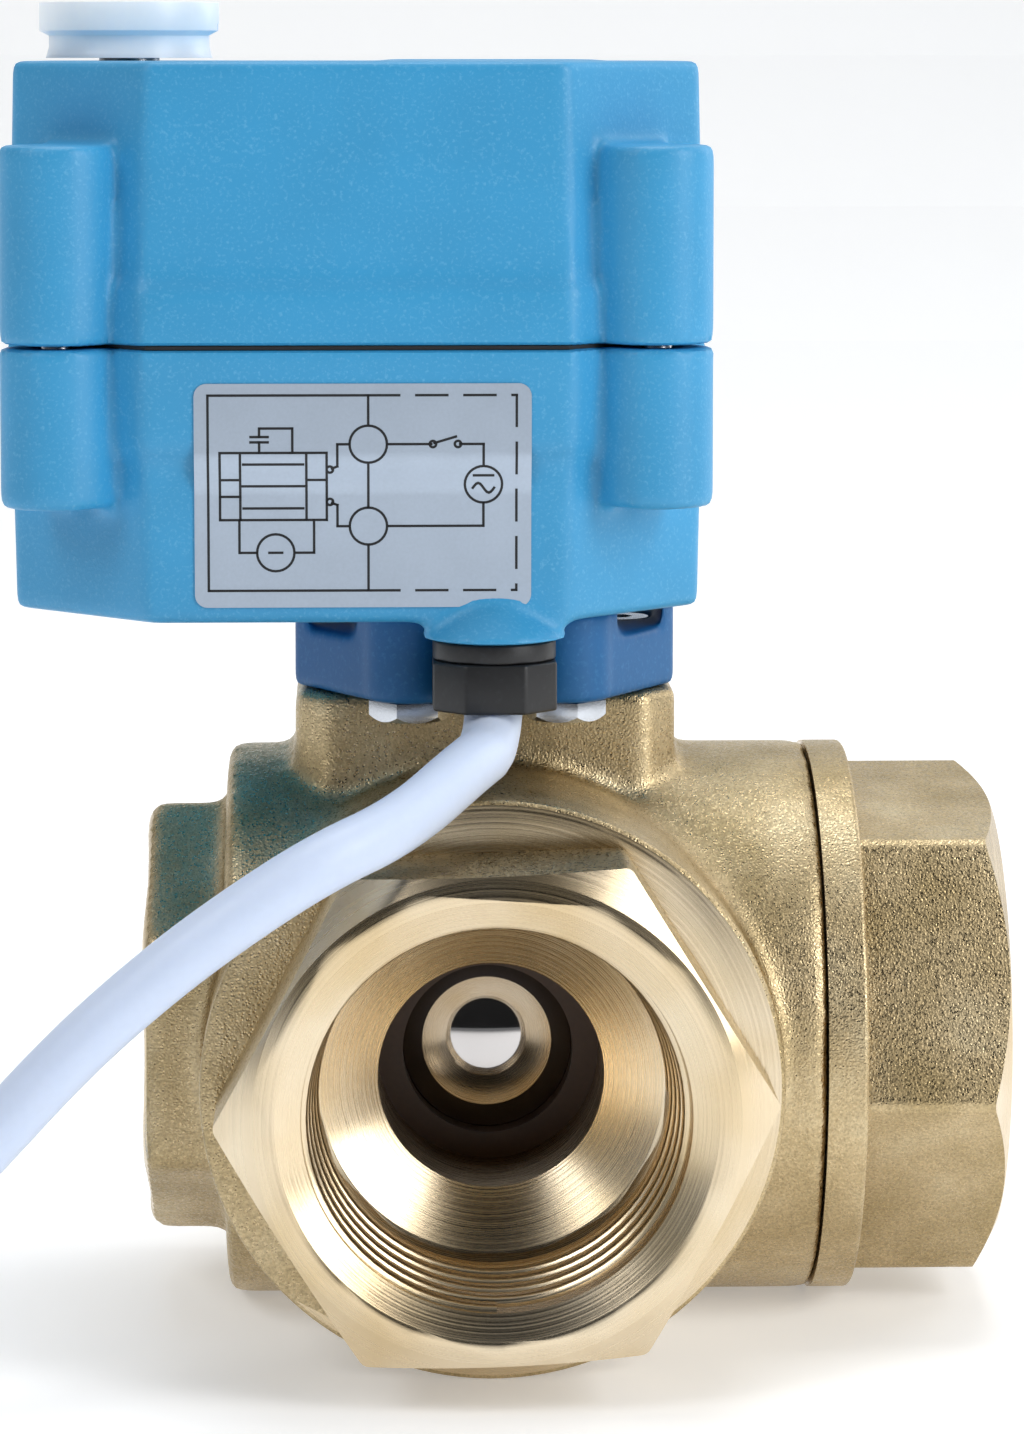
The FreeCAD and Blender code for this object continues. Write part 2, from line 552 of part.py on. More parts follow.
def build_gears():
    """Five wheels in mesh at rest: output, idler, reducer, motor pinion and knob gear."""
    coarse, fine = size("coarse_module"), size("fine_module")
    axle = size("axle_radius") + size("running_gap")
    output = (0.0, 0.0)
    idler = (size("idler_x"), size("idler_y"))
    reducer = (size("reducer_x"), size("reducer_y"))
    motor = (size("motor_x"), size("motor_y"))
    knob = (size("knob_x"), size("knob_y"))
    idler_small = meshing_tooth(output, 48, 0.0, idler, 12)
    reducer_small = meshing_tooth(idler, 36, 0.0, reducer, 12)
    pinion = meshing_tooth(reducer, 36, 0.0, motor, 12)
    knob_tooth = meshing_tooth(idler, 36, 0.0, knob, 24)
    solid_subpart("output_gear", gear(48, coarse, 48.5, 52.4, *output, 0.0, size("shaft_radius") + 0.02))
    solid_subpart("idler_gear", gear(36, coarse, 53.4, 56.0, *idler, 0.0, axle)
                  .fuse(gear(12, coarse, 47.8, 53.4, *idler, idler_small, axle)))
    solid_subpart("reducer_gear", gear(36, fine, 57.0, 59.4, *reducer, 0.0, axle)
                  .fuse(gear(12, coarse, 52.9, 57.0, *reducer, reducer_small, axle)))
    solid_subpart("motor_pinion", gear(12, fine, 56.6, 59.8, *motor, pinion, 0.77))
    solid_subpart("knob_gear", gear(24, coarse, 53.2, 56.2, *knob, knob_tooth, size("knob_shaft") + 0.02)
                  .fuse(collar_shape(4.6, size("knob_shaft") + 0.02, 50.6, 53.2, *knob)))


def build_output_shaft():
    """Output shaft: square socket on the stem, gear seat, and a slim upper end that carries the cams."""
    body = fuse(cylinder("shaft_radius", "40.6", "59.0"), cylinder("upper_shaft", "59.0", "74.5"),
                cylinder("shaft_radius + 1.1", "52.5", "53.2"))
    socket = box("-drive_square / 2 - 0.05", "drive_square / 2 + 0.05", "-drive_square / 2 - 0.05",
                 "drive_square / 2 + 0.05", "40", "drive_top + 0.1")
    subpart("output_shaft", cut(body, socket))
    for name, low, lobe in (("lower_cam", 63.4, 1.0), ("upper_cam", 68.0, -1.0)):
        disc = cylinder("7.0", "%s" % low, "%s" % (low + 3.6))
        notch = box("%s" % (4.8 if lobe > 0 else -9.0), "%s" % (9.0 if lobe > 0 else -4.8), "-3.5", "3.5",
                    "%s" % (low - 1), "%s" % (low + 5))
        subpart(name, cut(disc, cylinder("upper_shaft + 0.02", "%s" % (low - 1), "%s" % (low + 5)), notch))


def build_gear_plate():
    """Steel plate over the gears on four posts, with the fixed axles and bearing bushes."""
    left, right, depth = "-41", "17.2", "24"
    outline = [(left, "-14"), ("-31", "-" + depth), ("6", "-" + depth), (right, "-13"), (right, "13"),
               ("6", depth), ("-31", depth), (left, "14")]
    plate = padded("plate_blank", outline, "plate_low", "plate_top")
    holes = [cylinder("6.0", "plate_low - 1", "plate_top + 1"),
             cylinder("knob_shaft + 0.06", "plate_low - 1", "plate_top + 1", "knob_x", "knob_y"),
             cylinder("2.6", "plate_low - 1", "plate_top + 1", "motor_x", "motor_y")]
    posts, sockets = [], []
    for x, y in (("-36", "-16"), ("-33", "19"), ("14.4", "-10"), ("14.4", "10")):
        posts.append(fuse(cylinder("2.4", "floor_top + 0.02", "plate_low - 0.02", x, y),
                          cylinder("1.4", "plate_low - 1", "plate_top + 0.8", x, y)))
        sockets.append(cylinder("1.45", "plate_low - 1", "plate_top + 1", x, y))
    axles = []
    for x, y in (("idler_x", "idler_y"), ("reducer_x", "reducer_y")):
        axles.append(cylinder("axle_radius", "floor_top + 0.02", "plate_top", x, y))
        sockets.append(cylinder("axle_radius + 0.02", "plate_low - 1", "plate_top + 1", x, y))
    subpart("gear_plate", cut(plate, *holes, *sockets))
    subpart("plate_posts", group(*posts))
    subpart("gear_axles", group(*axles))
    subpart("plate_bush", cut(cylinder("5.98", "plate_low", "63.0"),
                              cylinder("upper_shaft + running_gap", "plate_low - 1", "64")))
    subpart("shaft_bush", cut(cylinder("shaft_radius + 1.96", "bracket_top + 0.02", "floor_top"),
                              cylinder("shaft_radius + running_gap", "bracket_top - 1", "floor_top + 1")))


def build_motor():
    """Small can motor standing on the gear plate, its shaft pointing down through it."""
    can = fuse(cylinder("motor_radius", "plate_top + 0.02", "motor_top", "motor_x", "motor_y"),
               cylinder("2.5", "plate_low + 0.3", "plate_top + 1", "motor_x", "motor_y"),
               cylinder("3.2", "motor_top - 1", "motor_top + 1.2", "motor_x", "motor_y"))
    subpart("drive_motor", can)
    subpart("motor_shaft", group(cylinder("0.75", "56.2", "60.2", "motor_x", "motor_y")))


def build_electrics():
    """Limit switches with their levers, circuit board, capacitor, relay and terminal block."""
    bodies, levers = [], []
    for low in ("63.5", "68.1"):
        bodies.append(box("-6.4", "6.4", "9.6", "15.4", low, low + " + 3.4"))
        levers.append(fuse(box("-6.0", "5.0", "7.9", "8.15", low + " + 0.6", low + " + 2.8"),
                           box("-6.0", "-5.5", "7.9", "9.58", low + " + 0.6", low + " + 2.8")))
    subpart("limit_switches", group(*bodies))
    subpart("switch_levers", group(*levers))
    outline = [("-38", "-12"), ("-29", "-22"), ("3", "-22"), ("13", "-12"), ("13", "12"), ("3", "22"),
               ("-29", "22"), ("-38", "12")]
    board = padded("board_blank", outline, "board_low", "board_top")
    subpart("circuit_board", cut(board, cylinder("5.2", "board_low - 1", "board_top + 1", "knob_x", "knob_y"),
                                 box("-45", "knob_x", "knob_y - 5.2", "knob_y + 5.2", "board_low - 1",
                                     "board_top + 1")))
    subpart("board_capacitor", group(cylinder("4.0", "76.5", "board_low - 0.02", "-26", "12.5")))
    subpart("board_relay", group(box("-14", "1", "8", "18", "77", "board_low - 0.02")))
    subpart("terminal_block", cut(box("3", "11", "-9", "9", "80", "board_low - 0.02"),
                                  cylinder("1.6", "79", "84", "7", "-4.5"), cylinder("1.6", "79", "84", "7", "4.5")))


def build_knob():
    """Milky manual knob with a finger bar, its shaft down to the gear train, and the shaft's seal."""
    blank = turned("knob_blank", [("0", "knob_low"), ("knob_neck + 0.3", "knob_low"),
                                  ("knob_neck", "knob_low + 1.1"), ("knob_neck", "knob_step"),
                                  ("knob_rim", "knob_step + 0.5"), ("knob_rim", "knob_top"),
                                  ("0", "knob_top")])
    recess = cut(cylinder("knob_neck - 0.9", "knob_top - 2.2", "knob_top + 1"),
                 box("-9", "9", "-1.6", "1.6", "knob_top - 3", "knob_top + 2"))
    notch = box("knob_rim - 1.0", "knob_rim + 1", "-1.5", "1.5", "knob_step - 1", "knob_step + 1.2")
    socket = cylinder("knob_shaft + 0.02", "knob_low - 1", "knob_low + 3")
    subpart("manual_knob", cut(blank, recess, notch, socket), x="knob_x", y="knob_y")
    subpart("knob_shaft", group(cylinder("knob_shaft", "48.5", "knob_low + 2.9", "knob_x", "knob_y")))
    subpart("knob_seal", cut(cylinder("4.7", "housing_top - wall - 1.6", "housing_top - wall - 0.02", "knob_x",
                                      "knob_y"),
                             cylinder("knob_shaft + 0.06", "housing_top - 5", "housing_top", "knob_x", "knob_y")))


# ---------------------------------------------------------------- supply cable

# Route of the cable, in valve coordinates, from the gland to the start of its coil on the table.
CABLE_ROUTE = [(0.4, -25.7, 35.4), (0.1, -29.8, 31.3), (-2.2, -36.8, 30.8), (-8.5, -46.2, 26.8),
               (-16.0, -52.6, 24.4), (-24.0, -54.0, 19.4), (-31.0, -54.5, 14.2), (-38.5, -54.5, 7.5),
               (-47.0, -54.3, -1.8), (-57.0, -54.1, -12.0), (-68.0, -54.0, -20.8), (-79.0, -54.0, -24.6),
               (-90.0, -54.0, -24.6)]


def rounded_path(points):
    """Straight runs joined by tangent arcs as large as their runs allow; prints each arc's radius."""
    spots = [FreeCAD.Vector(*point) for point in points]
    edges, radii, start = [], [], spots[0]
    for before, at, after in zip(spots, spots[1:], spots[2:]):
        back, ahead = before - at, after - at
        half_turn = (math.pi - back.getAngle(ahead)) / 2
        trim = 0.45 * min(back.Length, ahead.Length)
        radii.append(trim / math.tan(half_turn))
        back.normalize()
        ahead.normalize()
        arc_start, arc_end = at + back * trim, at + ahead * trim
        bisector = back + ahead
        bisector.normalize()
        middle = at + bisector * (radii[-1] / math.cos(half_turn) - radii[-1])
        edges += [Part.LineSegment(start, arc_start).toShape(),
                  Part.Arc(arc_start, middle, arc_end).toShape()]
        start = arc_end
    edges.append(Part.LineSegment(start, spots[-1]).toShape())
    print("cable radii", [round(radius, 1) for radius in radii])
    return Part.Wire(edges)


def tube_along(points, radius):
    """A round tube swept along a rounded path, with its volume compared with section times length."""
    path = rounded_path(points)
    heading = FreeCAD.Vector(*points[1]) - FreeCAD.Vector(*points[0])
    section = Part.Wire(Part.Circle(FreeCAD.Vector(*points[0]), heading, radius).toShape())
    tube = path.makePipeShell([section], True, True)
    print("cable length", round(path.Length, 1), "volume ratio",
          round(tube.Volume / (math.pi * radius ** 2 * path.Length), 4))
    return tube


def build_cable():
    """Two-core cable from the gland to the table, its wound coil, and the two bare cores at its end."""
    solid_subpart("cable", tube_along(CABLE_ROUTE, size("cable_radius")))
    floor = "-body_radius"
    subpart("cable_coil", cut(cylinder("coil_outer", floor, floor + " + 2 * cable_radius", "coil_x", "coil_y"),
                              cylinder("coil_inner", floor + " - 1", floor + " + 3 * cable_radius", "coil_x",
                                       "coil_y")))
    height = size("core_radius") - size("body_radius")
    x, y = size("coil_x"), size("coil_y") - size("coil_inner") - size("cable_radius")
    for name, offset in (("core_red", -1.0), ("core_black", 1.0)):
        points = [(x + 0.5, y + offset, height), (x - 8.0, y + 1.3 + offset, height),
                  (x - 15.5, y + 5.2 + 1.6 * offset, height)]
        solid_subpart(name, tube_along(points, size("core_radius")))


def check_document():
    """Stop if anything in the document failed, or a sub-part is empty or broken."""
    for item in doc.Objects:
        if "Invalid" in item.State or "Error" in item.State:
            raise RuntimeError("%s (%s) failed: %s" % (item.Name, item.Label, item.State))
    for item in subparts:
        if item.Shape.isNull() or not item.Shape.isValid():
            raise RuntimeError("%s has no valid shape" % item.Label)
        if item.Shape.Volume <= 0 or not item.Shape.Solids:
            raise RuntimeError("%s holds no solid" % item.Label)


build_valve_body()
build_end_cap("right_end_cap", TO_RIGHT, 39.5, "seat_back - 0.2", "right_end")
build_end_cap("front_end_cap", TO_FRONT, 2.0, "nose_radius", "cap_end")
for seat_name, seat_turn in (("left_seat", TO_LEFT), ("right_seat", TO_RIGHT), ("front_seat", TO_FRONT)):
    build_seat(seat_name, seat_turn)
build_ball()
build_stem()
build_cap_gaskets()
build_bracket()
build_fasteners()
build_lower_housing()
build_upper_housing()
build_housing_joint()
build_gland()
build_label()
build_gears()
build_output_shaft()
build_gear_plate()
build_motor()
build_electrics()
build_knob()
build_cable()
doc.recompute()
check_document()
os.makedirs("parts", exist_ok=True)
for item in subparts:
    item.Shape.exportStep("parts/%s.step" % item.Label)
print(len(subparts), "sub-parts written")
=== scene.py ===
"""Looks of a motorised three-way ball valve: forged brass body, blue plastic actuator, milky knob and cable.

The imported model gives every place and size. Each sub-assembly is a class that builds its pieces and dresses
them, and each finish is a small class that builds one material.
"""

import logging
import math
from dataclasses import dataclass, field
from enum import Enum
from typing import Any, Callable, Iterable, Optional, Sequence

import bmesh
import bpy
from mathutils import Matrix, Vector


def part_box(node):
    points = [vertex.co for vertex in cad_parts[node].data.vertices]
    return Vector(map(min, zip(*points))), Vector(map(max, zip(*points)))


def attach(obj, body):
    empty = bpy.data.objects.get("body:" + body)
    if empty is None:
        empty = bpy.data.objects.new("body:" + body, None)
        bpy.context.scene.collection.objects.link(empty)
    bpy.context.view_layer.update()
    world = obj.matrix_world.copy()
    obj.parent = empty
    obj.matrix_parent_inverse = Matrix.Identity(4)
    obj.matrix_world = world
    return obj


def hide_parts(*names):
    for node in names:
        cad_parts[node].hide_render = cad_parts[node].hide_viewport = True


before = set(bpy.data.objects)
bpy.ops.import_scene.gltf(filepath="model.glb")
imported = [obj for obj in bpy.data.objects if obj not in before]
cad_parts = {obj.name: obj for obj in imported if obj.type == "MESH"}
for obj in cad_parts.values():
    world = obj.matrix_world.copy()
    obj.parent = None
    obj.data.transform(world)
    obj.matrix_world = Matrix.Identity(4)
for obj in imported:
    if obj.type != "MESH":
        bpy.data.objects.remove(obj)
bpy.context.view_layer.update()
MM = 0.001
LOG = logging.getLogger("zone_valve")

MERGE = 0.002  # points of a CAD mesh closer than this many millimetres are one
FLAT = 0.3  # faces that turn less than this many degrees are one flat face
ALIKE = 0.99  # two directions whose cosine is above this count as the same

# Where the stem's axis crosses the ports' axes, from the boxes of the ball and of the right cap.
BALL_LOW, BALL_HIGH = (Vector(corner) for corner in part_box("ball"))
CAP_LOW, CAP_HIGH = (Vector(corner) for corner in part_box("right_end_cap"))
PORTS = Vector(((BALL_LOW.x + BALL_HIGH.x) / 2, (CAP_LOW.y + CAP_HIGH.y) / 2, (CAP_LOW.z + CAP_HIGH.z) / 2))


class Direction(Enum):
    """The way a port faces, as the turn that brings +Z there."""

    RIGHT = Matrix.Rotation(math.radians(90), 4, "Y")
    LEFT = Matrix.Rotation(math.radians(-90), 4, "Y")
    FRONT = Matrix.Rotation(math.radians(90), 4, "X")


def linear(code: str) -> tuple[float, float, float, float]:
    """Turn an sRGB hex colour into linear values.

    Args:
        code: six hex digits, such as "3F9BD0".

    Returns:
        Red, green, blue and an alpha of one.
    """
    values = []
    for start in (0, 2, 4):
        share = int(code[start:start + 2], 16) / 255
        values.append(share / 12.92 if share <= 0.04045 else ((share + 0.055) / 1.055) ** 2.4)
    return (*values, 1.0)


def add(tree: bpy.types.NodeTree, kind: str, inputs: Optional[dict[Any, Any]] = None,
        **settings: Any) -> bpy.types.Node:
    """Add a shader node with its settings, values and links.

    Args:
        tree: the material's node tree.
        kind: the node's type after "ShaderNode".
        inputs: values or sockets for its inputs, by name or number.
        **settings: properties of the node itself.

    Returns:
        The new node.
    """
    new = tree.nodes.new("ShaderNode" + kind)
    for name, value in settings.items():
        setattr(new, name, value)
    for name, value in (inputs or {}).items():
        if isinstance(value, bpy.types.NodeSocket):
            tree.links.new(value, new.inputs[name])
        else:
            new.inputs[name].default_value = value
    return new


def ramp(tree: bpy.types.NodeTree, factor: bpy.types.NodeSocket,
         stops: Sequence[tuple[float, str]]) -> bpy.types.NodeSocket:
    """Add a colour ramp and return its colour.

    Args:
        tree: the material's node tree.
        factor: what drives the ramp.
        stops: position and hex colour of each stop.

    Returns:
        The ramp's colour output.
    """
    new = add(tree, "ValToRGB", {"Fac": factor})
    elements = new.color_ramp.elements
    while len(elements) < len(stops):
        elements.new(0.5)
    for element, (position, code) in zip(elements, stops):
        element.position = position
        element.color = linear(code)
    return new.outputs["Color"]


@dataclass(frozen=True)
class Finish:
    """A plain finish with a grain; the base of the others.

    The grain and its relief are in millimetres. The shade is how far the tone drifts either way, as a share.
    """

    name: str
    colour: str
    roughness: float = 0.5
    metallic: float = 0.0
    ior: float = 1.46
    grain: float = 0.4
    relief: float = 0.02
    shade: float = 0.12
    coat: float = 0.0

    def build(self) -> bpy.types.Material:
        """Make the material, or find it if it is already there.

        Returns:
            The material.
        """
        found = bpy.data.materials.get(self.name)
        if found:
            return found
        material = bpy.data.materials.new(self.name)
        material.use_nodes = True
        tree = material.node_tree
        shader = tree.nodes["Principled BSDF"]
        shader.inputs["Metallic"].default_value = self.metallic
        shader.inputs["Roughness"].default_value = self.roughness
        shader.inputs["Coat Weight"].default_value = self.coat
        if self.metallic < 1:
            shader.inputs["IOR"].default_value = self.ior
        self.dress(tree, shader, add(tree, "TexCoord").outputs["Object"])
        return material

    def dress(self, tree: bpy.types.NodeTree, shader: bpy.types.Node, place: bpy.types.NodeSocket) -> None:
        """Add the colour variation and the grain to the shader.

        Args:
            tree: the material's node tree.
            shader: its surface shader.
            place: the object coordinates.
        """
        grain = add(tree, "TexNoise", {"Vector": place, "Scale": 1 / (self.grain * MM), "Detail": 3.0})
        cloud = add(tree, "TexNoise", {"Vector": place, "Scale": 0.06 / (self.grain * MM), "Detail": 2.0})
        mixed = add(tree, "Math", {0: grain.outputs["Fac"], 1: cloud.outputs["Fac"]}, operation="ADD")
        value = add(tree, "MapRange", {"Value": mixed.outputs[0], "From Min": 0.6, "From Max": 1.4,
                                       "To Min": 1 - self.shade, "To Max": 1 + self.shade})
        tint = add(tree, "HueSaturation", {"Value": value.outputs["Result"], "Color": linear(self.colour)})
        tree.links.new(tint.outputs["Color"], shader.inputs["Base Color"])
        bump = add(tree, "Bump", {"Height": grain.outputs["Fac"], "Distance": self.relief * MM,
                                  "Strength": 1.0})
        tree.links.new(bump.outputs["Normal"], shader.inputs["Normal"])


@dataclass(frozen=True)
class BlastedBrass(Finish):
    """Forged brass, grit-blasted: pale dull yellow with small pits whose rims catch the light and whose
    bottoms are darkened with painted shade.
    """

    grit: float = 0.28
    pits: float = 0.045

    def dress(self, tree: bpy.types.NodeTree, shader: bpy.types.Node, place: bpy.types.NodeSocket) -> None:
        """Add the pitted relief, the glints, the uneven tone and painted shade in the pits.

        Args:
            tree: the material's node tree.
            shader: its surface shader.
            place: the object coordinates.
        """
        pits = add(tree, "TexNoise", {"Vector": place, "Scale": 1 / (self.grit * MM), "Detail": 4.0,
                                      "Roughness": 0.65})
        chips = add(tree, "TexVoronoi", {"Vector": place, "Scale": 1 / (0.8 * self.grit * MM)})
        cloud = add(tree, "TexNoise", {"Vector": place, "Scale": 1 / (9.0 * MM), "Detail": 3.0})
        height = add(tree, "Math", {0: pits.outputs["Fac"], 1: chips.outputs["Distance"]}, operation="ADD")
        glint = add(tree, "MapRange", {"Value": chips.outputs["Color"], "From Min": 0.2, "From Max": 0.9,
                                       "To Min": self.roughness + 0.14, "To Max": self.roughness - 0.18})
        tone = ramp(tree, cloud.outputs["Fac"], ((0.3, "AE9A72"), (0.55, self.colour), (0.8, "D3C3A0")))
        # Painted shade: the base colour darkens where the pit noise is low, in the sunken spots of the
        # relief.
        painted_pit_shade = add(tree, "MapRange", {"Value": pits.outputs["Fac"], "From Min": 0.3, "From Max": 0.62,
                                        "To Min": 0.72, "To Max": 1.12})
        tint = add(tree, "HueSaturation", {"Value": painted_pit_shade.outputs["Result"], "Color": tone})
        bump = add(tree, "Bump", {"Height": height.outputs[0], "Distance": self.pits * MM, "Strength": 1.0})
        tree.links.new(tint.outputs["Color"], shader.inputs["Base Color"])
        tree.links.new(glint.outputs["Result"], shader.inputs["Roughness"])
        tree.links.new(bump.outputs["Normal"], shader.inputs["Normal"])


@dataclass(frozen=True)
class TurnedBrass(Finish):
    """Brass fresh from the lathe: smooth and bright, with fine rings about the port's axis."""

    facing: Direction = Direction.FRONT
    ring: float = 0.24

    def dress(self, tree: bpy.types.NodeTree, shader: bpy.types.Node, place: bpy.types.NodeSocket) -> None:
        """Add rings that follow both the radius and the depth, and a faint tarnish.

        Args:
            tree: the material's node tree.
            shader: its surface shader.
            place: the object coordinates.
        """
        centred = add(tree, "VectorMath", {0: place, 1: tuple(-PORTS)}, operation="ADD")
        axis = self.facing.value.to_3x3() @ Vector((0, 0, 1))
        along = add(tree, "VectorMath", {0: centred.outputs[0], 1: tuple(axis)}, operation="DOT_PRODUCT")
        across = add(tree, "VectorMath", {0: centred.outputs[0],
                                          1: tuple(1 - abs(value) for value in axis)}, operation="MULTIPLY")
        radius = add(tree, "VectorMath", {0: across.outputs[0]}, operation="LENGTH")
        travel = add(tree, "Math", {0: radius.outputs["Value"], 1: along.outputs["Value"]}, operation="ADD")
        rings = add(tree, "TexNoise", {"W": travel.outputs[0], "Scale": 1 / (self.ring * MM), "Detail": 3.0},
                    noise_dimensions="1D")
        cloud = add(tree, "TexNoise", {"Vector": place, "Scale": 1 / (11.0 * MM), "Detail": 2.0})
        tone = ramp(tree, cloud.outputs["Fac"], ((0.3, "D0BA94"), (0.6, self.colour), (0.85, "E6D8BE")))
        rough = add(tree, "MapRange", {"Value": rings.outputs["Fac"], "From Min": 0.3, "From Max": 0.7,
                                       "To Min": self.roughness - 0.06, "To Max": self.roughness + 0.08})
        bump = add(tree, "Bump", {"Height": rings.outputs["Fac"], "Distance": self.relief * MM,
                                  "Strength": 1.0})
        tree.links.new(tone, shader.inputs["Base Color"])
        tree.links.new(rough.outputs["Result"], shader.inputs["Roughness"])
        tree.links.new(bump.outputs["Normal"], shader.inputs["Normal"])


@dataclass(frozen=True)
class MouldedPlastic(Finish):
    """ABS or nylon from a spark-eroded mould: even fine grain with pale specks of painted highlight on its
    peaks.
    """

    # Pale colour painted on the grain's peaks as highlight, and how far it shows.
    peak_highlight_colour: str = "78B9DD"
    peak_highlight_share: float = 0.35

    def dress(self, tree: bpy.types.NodeTree, shader: bpy.types.Node, place: bpy.types.NodeSocket) -> None:
        """Add the grain, painted highlights on its peaks and slow shifts of tone.

        Args:
            tree: the material's node tree.
            shader: its surface shader.
            place: the object coordinates.
        """
        grain = add(tree, "TexNoise", {"Vector": place, "Scale": 1 / (self.grain * MM), "Detail": 4.0,
                                       "Roughness": 0.6})
        cloud = add(tree, "TexNoise", {"Vector": place, "Scale": 1 / (14.0 * MM), "Detail": 2.0})
        value = add(tree, "MapRange", {"Value": cloud.outputs["Fac"], "From Min": 0.3, "From Max": 0.7,
                                       "To Min": 1 - self.shade, "To Max": 1 + self.shade})
        tint = add(tree, "HueSaturation", {"Value": value.outputs["Result"], "Color": linear(self.colour)})
        # Painted highlight: pale specks where the grain's relief peaks.
        painted_peak_highlight = add(tree, "MapRange", {"Value": grain.outputs["Fac"], "From Min": 0.54, "From Max": 0.7,
                                      "To Min": 0.0, "To Max": self.peak_highlight_share})
        mix = add(tree, "Mix", {"Factor": painted_peak_highlight.outputs["Result"], "A": tint.outputs["Color"],
                                "B": linear(self.peak_highlight_colour)}, data_type="RGBA")
        bump = add(tree, "Bump", {"Height": grain.outputs["Fac"], "Distance": self.relief * MM,
                                  "Strength": 1.0})
        tree.links.new(mix.outputs["Result"], shader.inputs["Base Color"])
        tree.links.new(bump.outputs["Normal"], shader.inputs["Normal"])


@dataclass(frozen=True)
class MilkyPlastic(Finish):
    """Natural polypropylene or silicone: light sinks in, so shadows on it are soft and bluish."""

    depth: float = 2.0
    scatter: float = 0.3

    def build(self) -> bpy.types.Material:
        """Make the material with light scattered under the surface.

        Returns:
            The material.
        """
        material = super().build()
        shader = material.node_tree.nodes["Principled BSDF"]
        shader.inputs["Subsurface Weight"].default_value = self.scatter
        shader.inputs["Subsurface Radius"].default_value = (0.8, 0.9, 1.0)
        shader.inputs["Subsurface Scale"].default_value = self.depth * MM
        return material


# Forging brass, grit-blasted after trimming: pale, dull and evenly pitted, with glints on the pits' rims and
# painted shade in the pits.
# The pits are drawn coarser than a blast leaves them, so that they show.
FORGED = BlastedBrass("forged_brass", "C4B08A", roughness=0.38, metallic=1.0)
# The same brass turned on a lathe: bright and near white where it faces the light, with rings about the
# port's axis. The rings are drawn coarser than a tool's feed, so that they show.
TURNED = {facing: TurnedBrass("turned_brass_" + facing.name.lower(), "DCCBAE", roughness=0.25, metallic=1.0,
                              relief=0.006, facing=facing) for facing in Direction}
# Chromed and polished brass: a clear, slightly warm mirror.
CHROME = Finish("chrome_plate", "C6C2C0", roughness=0.05, metallic=1.0, grain=3.0, relief=0.002, shade=0.03)
# PTFE filled with carbon and bronze, pressed and turned: a waxy dark brown.
SEAT = Finish("filled_ptfe", "4A382B", roughness=0.42, ior=1.36, grain=0.5, relief=0.01)
# Compressed aramid fibre sheet, punched: a dry olive-brown edge with no shine.
FIBRE = Finish("gasket_fibre", "86764E", roughness=0.6, ior=1.5, grain=0.4, relief=0.01)
# Nitrile rubber, moulded: soft black that spreads its highlights wide.
BLACK_RUBBER = Finish("nitrile_rubber", "1B1C1E", roughness=0.7, ior=1.52, grain=0.3, relief=0.01)
# ABS moulded in a spark-eroded tool: clear mid blue, satin, with pale specks of painted highlight on its
# grain's peaks; the grain is drawn coarser than the tool's own, so that it shows.
BLUE_ABS = MouldedPlastic("blue_abs", "3495C7", roughness=0.46, ior=1.54, grain=0.32, relief=0.03, shade=0.05)
# Glass-filled nylon, moulded: a deeper blue, a little drier, with pale specks of painted highlight on its
# grain's peaks.
BLUE_BRACKET = MouldedPlastic("blue_nylon", "115E96", roughness=0.5, ior=1.45, grain=0.5, relief=0.015,
                              shade=0.06, peak_highlight_colour="4D97CC", peak_highlight_share=0.2)
# Black nylon, moulded: satin black that picks out its edges in grey, with faint grey specks of painted
# highlight on its grain's peaks.
BLACK_NYLON = MouldedPlastic("black_nylon", "0C0D10", roughness=0.45, ior=1.53, grain=0.6, relief=0.012,
                             peak_highlight_colour="3A3E43", peak_highlight_share=0.15)
# Steel with bright zinc plate: cool silver, slightly cloudy.
ZINC = Finish("bright_zinc", "C9CDD3", roughness=0.25, metallic=1.0, grain=0.25, relief=0.008, shade=0.1)
# Cold-rolled steel, stamped: plain grey metal with a dull sheen.
STAMPED_STEEL = Finish("stamped_steel", "A7A9AB", roughness=0.36, metallic=1.0, grain=0.5, relief=0.006)
# Metallised polyester film under a clear lacquer: blue-grey silver that is only partly a mirror.
LABEL_FILM = Finish("silver_label_film", "A9B6C6", roughness=0.33, metallic=0.6, grain=0.3, relief=0.004,
                    shade=0.05, coat=0.3)
# Screen-printed ink: flat near-black lines.
INK = Finish("printed_ink", "14161A", roughness=0.5, grain=0.2, relief=0.001, shade=0.05)
# Acetal, moulded: smooth, slightly greasy off-white.
ACETAL = Finish("moulded_acetal", "E4E2DA", roughness=0.35, ior=1.48, grain=0.6, relief=0.006, shade=0.04)
# Sintered bronze, pressed: brown metal, dulled by its pores.
BRONZE = Finish("sintered_bronze", "B07B3E", roughness=0.45, metallic=1.0, grain=0.2, relief=0.01)
# Solder resist over glass-epoxy board: glossy deep green.
SOLDER_MASK = Finish("solder_resist", "17633A", roughness=0.3, ior=1.55, grain=1.5, relief=0.01, shade=0.1)
# PVC sleeve shrunk on a capacitor: glossy dark blue.
SLEEVE = Finish("shrink_sleeve", "22367F", roughness=0.3, ior=1.55, grain=2.0, relief=0.004)
# Phenolic moulding, as in switch cases: hard satin black.
SWITCH_BLACK = Finish("phenolic_black", "212226", roughness=0.38, ior=1.55, grain=0.5, relief=0.006)
# Polyamide terminal block, moulded: flat signal green.
TERMINAL = Finish("terminal_green", "2E8F4E", roughness=0.4, ior=1.55, grain=0.5, relief=0.006)
# Natural polypropylene, moulded: milky white whose shaded side stays bluish and light.
KNOB_MILK = MilkyPlastic("milky_polypropylene", "EEF6FF", roughness=0.34, ior=1.49, grain=1.2, relief=0.006,
                         shade=0.03)
